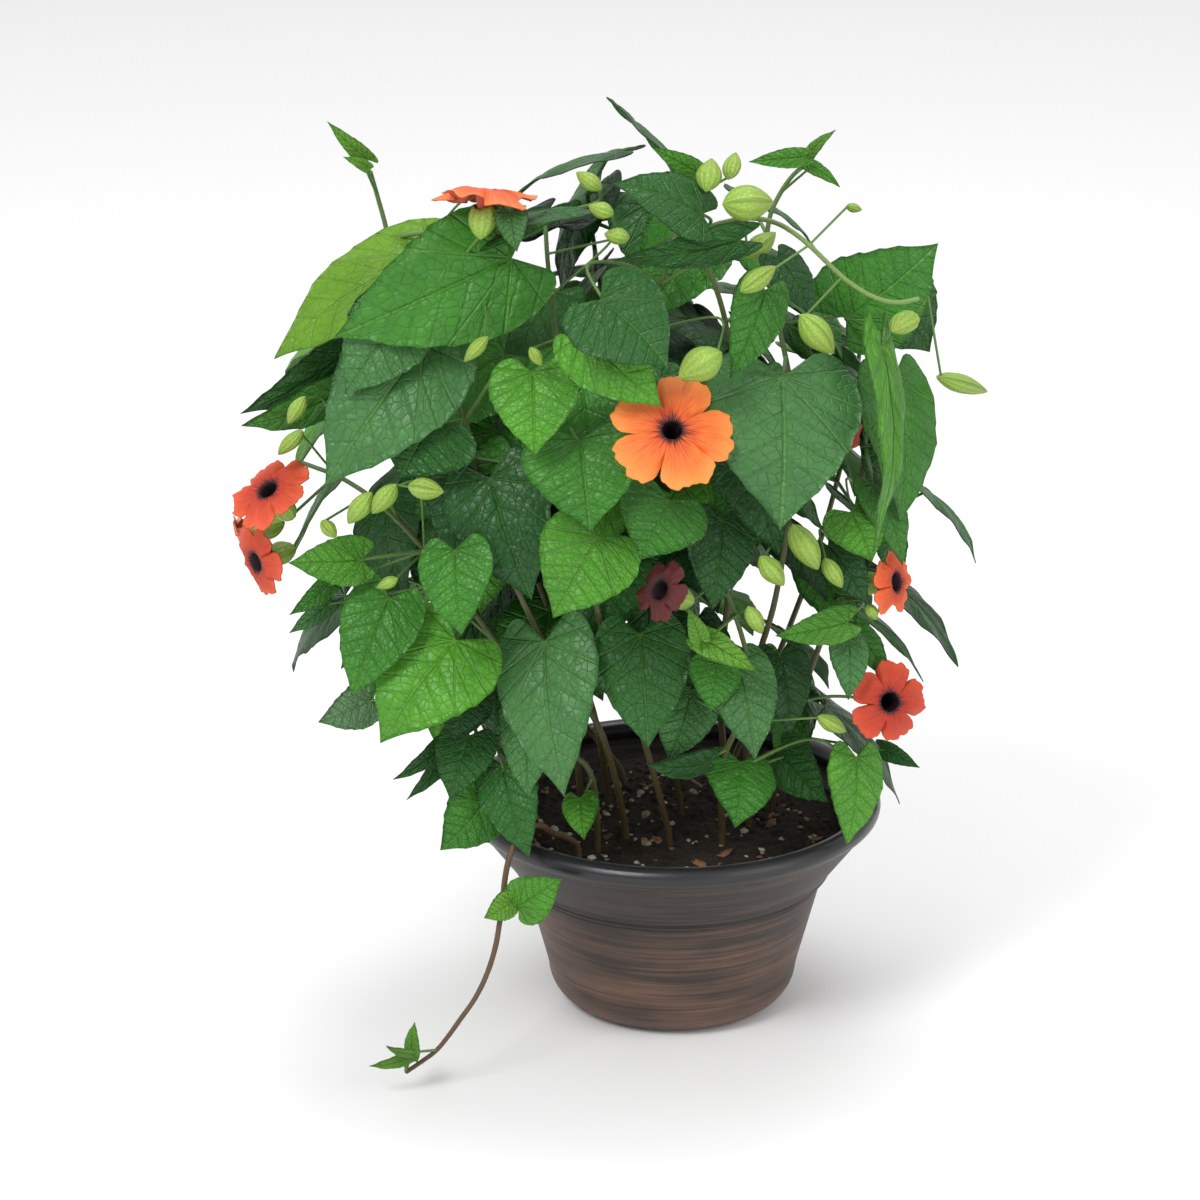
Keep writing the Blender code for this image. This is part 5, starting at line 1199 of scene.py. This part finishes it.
def bud_build(route, root_at, tip_at, thickness):
    """A maker of one bud for a given lift, with its stalk."""
    def build(lift, option):
        root = root_at(lift)
        tip = tip_at(lift)
        start = leave_point(route, root, option)
        stalk = stalk_route(start, root, tip - root, 0.3 * float(np.linalg.norm(tip - root)))
        trail = along_samples(stalk)
        trail = trail[np.linalg.norm(trail - start, axis=1) > WALL_ROOM]
        ring = [root + (tip - root) * u for u in (0.2, 0.5, 0.8)]
        out = unit(np.cross(tip - root, (0.3, 1.0, 0.2))) * thickness * 0.5
        ring += [root + (tip - root) * 0.5 + out, root + (tip - root) * 0.5 - out]
        return {"root": root, "tip": tip, "thickness": thickness, "stalk": stalk,
                "samples": np.vstack([ring, trail])}
    return build


for vine, root, tip, lift, thickness in BUDS.values():
    build = bud_build(routes[vine], in_picture(*root, lift), in_picture(*tip, lift + 3), thickness)
    made = lift_choices(room, vine, build)
    if made is not None:
        grown[vine]["buds"].append(made)
        room.add(made["samples"], vine)


def put_bract(skin, root, tip, thickness, openness=0.0):
    """A pair of bracts round a bud: two keeled, ribbed half shells that meet along their edges.
    Their width swells as the square root of the way along and closes to a point, or stays open."""
    length = float(np.linalg.norm(tip - root))
    axis = unit(tip - root)
    side = unit(np.cross(axis, (0.15, 0.35, 0.92)))
    over = np.cross(axis, side)
    rows, around = BRACT_ROWS, BRACT_AROUND
    u = np.linspace(0.0, 1.0, rows)
    angle = np.linspace(0, 2 * math.pi, around, endpoint=False)
    close = np.sin(math.pi * np.clip(u * (1 - 0.42 * openness), 0, 1)) ** 0.75
    swell = (1.0 + 0.35 * (0.5 - u)) * close
    rib = 1.0 + 0.045 * np.cos(angle * 10) + 0.10 * np.abs(np.cos(angle)) ** 8
    x = np.outer(swell, np.cos(angle) * rib) * thickness * 0.54
    y = np.outer(swell, np.sin(angle) * rib) * thickness * 0.44
    flare = (np.cos(angle) ** 2) * openness * length * 0.22
    z = u[:, None] * (length + flare[None, :])
    points = root + x[..., None] * side + y[..., None] * over + z[..., None] * axis
    outer = points.reshape(-1, 3)
    faces = grid_faces(rows, around, closed=True)[:, ::-1]
    places = np.stack([np.tile(angle / 6.3, rows), np.repeat(u, around)], axis=-1)
    share = np.repeat(u, around)[:, None]
    tones = np.array(BRACT_TONE) * (1.08 - 0.30 * share) + np.array([0.05, 0.03, 0.0]) * share
    if openness > 0:
        inner = (root + 0.86 * x[..., None] * side + 0.86 * y[..., None] * over
                 + (z[..., None] * 0.99 + 0.3) * axis).reshape(-1, 3)
        count = len(outer)
        rim = edge_faces((rows - 1) * around, around, count)
        skin.put(np.vstack([outer, inner]), np.vstack([faces, faces[:, ::-1] + count, rim]),
                 np.vstack([places, places]), np.vstack([tones, tones * 0.7]), BRACT_FINISH)
    else:
        skin.put(outer, faces, places, tones, BRACT_FINISH)


bract_green = Finish("bract_green", Roughness=0.48)
bract_tone = bract_green.add("VertexColor", {"layer_name": "tone"})
bract_place = bract_green.add("UVMap", {"uv_map": "pattern"})
rib_wave = (bract_green.split(bract_place)[0] * 6.3 * 10.0).math("COSINE")
bract_at = bract_green.add("TexCoord", None, None, out=3)
bract_net = bract_green.add("TexVoronoi", {"feature": "DISTANCE_TO_EDGE"},
                            {"Vector": bract_at, "Scale": 520.0})
bract_line = (1.0 - bract_net * 9.0).clamp()
bract_deep = bract_green.blend(0.5, bract_tone, (0.04, 0.16, 0.01))
bract_depth = (bract_line * 0.35 + (rib_wave + 1.0) * 0.22).clamp()
bract_green.send("Base Color", bract_green.blend(bract_depth, bract_tone, bract_deep))
bract_green.bump(rib_wave * 0.5 - bract_line * 0.5, 0.0005, 0.6)


# The crown's other leaves: the ones that the picture doesn't show, spread evenly over the back and
# the sides, and more in the shade inside, which are too many to be in the solids.
FILL_COUNT = 90
FILL_CROSSINGS = 3
FILL_LENGTH = (34.0, 56.0)
FILL_SEED = 20
FILL_TONES = ["mid", "deep", "dark", "grey", "mid", "bright"]
INNER_COUNT = 150
INNER_CROSSINGS = 8
INNER_LENGTH = (30.0, 50.0)
INNER_SEED = 5


def hang_leaf(middle, out, heading, facing, length, width, crossings):
    """One extra leaf on the stem that passes nearest to its middle."""
    vine = min(routes, key=lambda v: np.min(np.linalg.norm(routes[v][8:] - middle, axis=1)))
    base_at = lambda extra: middle - heading * length / 2 + out * extra * 0.6
    tip_at = lambda extra: middle + heading * length / 2 + out * extra * 0.6
    keep_leaf(vine, base_at, tip_at, width, lambda at: facing, 0.0, None, crossings)


def fill_crown():
    """Leaves over the crown's back and sides and inside it, spread evenly by the golden angle."""
    draw = random.Random(FILL_SEED)
    golden = math.pi * (3.0 - math.sqrt(5.0))
    for k in range(FILL_COUNT):
        up = 1.0 - 1.75 * (k + 0.5) / FILL_COUNT
        angle = k * golden
        flat = math.sqrt(max(0.0, 1.0 - up * up))
        way = np.array([math.cos(angle) * flat, math.sin(angle) * flat, up])
        depth = draw.uniform(0.78, 0.98) if way[1] > -0.2 else draw.uniform(0.35, 0.62)
        length = draw.uniform(*FILL_LENGTH)
        swing = draw.uniform(-0.5, 0.5)
        droop = draw.uniform(0.35, 0.9)
        out = unit(way * (1.0, 1.0, 0.4))
        across = np.array([-out[1], out[0], 0.0])
        heading = unit(out * 0.55 + across * swing - np.array([0.0, 0.0, droop]))
        facing = unit(out + np.array([0.0, 0.0, 0.7]))
        width = length * draw.uniform(0.74, 0.92)
        middle = CROWN_CENTRE + CROWN_RADII * way * depth
        hang_leaf(middle, out, heading, facing, length, width, FILL_CROSSINGS)


def fill_inside():
    """Leaves in the shade inside the crown, strewn at random and turned outwards."""
    draw = random.Random(INNER_SEED)
    for _leaf in range(INNER_COUNT):
        way = unit(np.array([draw.gauss(0, 1), draw.gauss(0, 1) + 0.3, draw.gauss(0, 1) + 0.35]))
        middle = CROWN_CENTRE + CROWN_RADII * way * draw.uniform(0.25, 0.80)
        out = unit(way * (1.0, 1.0, 0.3) + np.array([0.0, -0.5, 0.0]))
        length = draw.uniform(*INNER_LENGTH)
        across = np.array([-out[1], out[0], 0.0])
        heading = unit(out * 0.4 + across * draw.uniform(-0.7, 0.7) - np.array([0.0, 0.0, 0.8]))
        facing = unit(out + np.array([0.0, 0.0, 0.5]))
        hang_leaf(middle, out, heading, facing, length, length * 0.85, INNER_CROSSINGS)


fill_crown()
fill_inside()


# The vines put together: a vine is one grown piece, with its stem, stalks, leaves, bracts and buds.
# Each corolla is a piece of its own, in its cup.
STEM_FINENESS = 2.0
STALK_FINENESS = 2.5
CUP_OPENNESS = 0.75

for vine, growth in grown.items():
    draw = random.Random(vine)
    skin = Skin()
    route = smooth_path(growth["route"][::2], STEM_FINENESS)
    share = np.linspace(0, 1, len(route))[:, None]
    stem_tone = np.array(STEM_BROWN) * (1 - share) + np.array(STEM_TIPS.get(vine, STEM_GREEN)) * share
    taper = np.linspace(STEM_RADIUS, STEM_RADIUS * STEM_TAPER, len(route))
    put_tube(skin, route, taper, stem_tone, STEM_SIDES)
    put_hairs(skin, route, STEM_RADIUS * 0.85, draw, STEM_HAIRS_PER_MM)
    for leaf in growth["leaves"]:
        blade = leaf["blade"]
        tone = np.array(TONES[leaf["tone"] or draw.choice(FILL_TONES)]) * draw.uniform(0.88, 1.14)
        put_leaf(skin, blade, tone, draw, draw.uniform(0.012, 0.020))
        thin = STALK_RADIUS if blade.length > LONG_LEAF else STALK_RADIUS * 0.7
        stalk = smooth_path(leaf["stalk"], STALK_FINENESS)
        taper = np.linspace(thin * 1.05, thin * 0.72, len(stalk))
        put_tube(skin, stalk, taper, STALK_TONE, STALK_SIDES)
        put_hairs(skin, stalk, thin * 0.8, draw, STALK_HAIRS_PER_MM)
    for bud in growth["buds"]:
        root, tip = bud["root"], bud["tip"]
        stalk = smooth_path(bud["stalk"][:-1].tolist() + [root + 0.1 * (tip - root)], STALK_FINENESS)
        put_tube(skin, stalk, STALK_RADIUS * 0.62, STALK_TONE, STALK_SIDES)
        put_bract(skin, root, tip, bud["thickness"])
    for flower in growth["flowers"]:
        stalk = smooth_path(flower["stalk"], STALK_FINENESS)
        put_tube(skin, stalk, STALK_RADIUS * 0.8, STALK_TONE, STALK_SIDES)
        heel = flower["throat"] - flower["facing"] * CUP_BACK
        lip = heel + flower["facing"] * (CUP_BACK - CUP_FRONT + 2.0)
        put_bract(skin, heel, lip, CUP_RADIUS * 2.1, CUP_OPENNESS)
    vine_piece = skin.piece(vine + "_growth", [foliage, stalk_green, bract_green])
    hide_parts(vine)
    for flower in growth["flowers"]:
        petal_skin = Skin()
        put_corolla(petal_skin, flower, PETAL_TONES[flower["name"]], draw)
        petal_piece = petal_skin.piece(flower["name"] + "_petals", [petals])
        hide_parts(flower["name"])


# The studio: a plain pale floor that runs out of sight, even pale light from all round with three
# large soft lamps, and a camera at the picture's angle and distance.
FLOOR_SIZE = 6.0
STUDIO_LIGHT = 0.68
LIGHT_AIM = (-0.02, 0, 0.2)
# Lamps: name, place and size in metres, power in watts
LAMPS = [("key", (-0.9, -1.3, 1.7), 0.8, 26.0), ("fill", (1.4, -1.2, 0.9), 1.4, 10.0),
         ("top", (0.1, 0.5, 1.9), 1.0, 14.0)]

floor_mesh = bpy.data.meshes.new("floor")
half = FLOOR_SIZE / 2
floor_mesh.from_pydata([(-half, -half, 0), (half, -half, 0), (half, half, 0), (-half, half, 0)], [],
                       [(0, 1, 2, 3)])
floor = bpy.data.objects.new("floor", floor_mesh)
bpy.context.scene.collection.objects.link(floor)
pale = Finish("floor_pale", Base_Color=(0.90, 0.90, 0.90, 1.0), Roughness=0.7)
floor_mesh.materials.append(pale.material)

world = bpy.data.worlds.new("studio")
bpy.context.scene.world = world
bpy.context.scene.view_settings.view_transform = "Standard"
world.use_nodes = True
world.node_tree.nodes["Background"].inputs["Color"].default_value = (1.0, 1.0, 1.0, 1.0)
world.node_tree.nodes["Background"].inputs["Strength"].default_value = STUDIO_LIGHT

for name, place, size, power in LAMPS:
    lamp = bpy.data.lights.new(name, "AREA")
    lamp.size = size
    lamp.energy = power
    stand = bpy.data.objects.new(name, lamp)
    way = Vector(LIGHT_AIM) - Vector(place)
    stand.location = place
    stand.rotation_euler = way.to_track_quat("-Z", "Y").to_euler()
    bpy.context.scene.collection.objects.link(stand)

lens = bpy.data.cameras.new("camera")
lens.sensor_width = 36.0
lens.lens = lens.sensor_width * VIEW_DISTANCE / (2 * VIEW_CENTRE * VIEW_SCALE)
lens.clip_end = 20.0
camera = bpy.data.objects.new("camera", lens)
bpy.context.scene.collection.objects.link(camera)
aim = Vector((VIEW_AIM * MM).tolist())
back = Vector((0.0, -math.cos(VIEW_TILT), math.sin(VIEW_TILT)))
camera.location = aim + back * VIEW_DISTANCE * MM
camera.rotation_euler = (-back).to_track_quat("-Z", "Y").to_euler()
bpy.context.scene.camera = camera
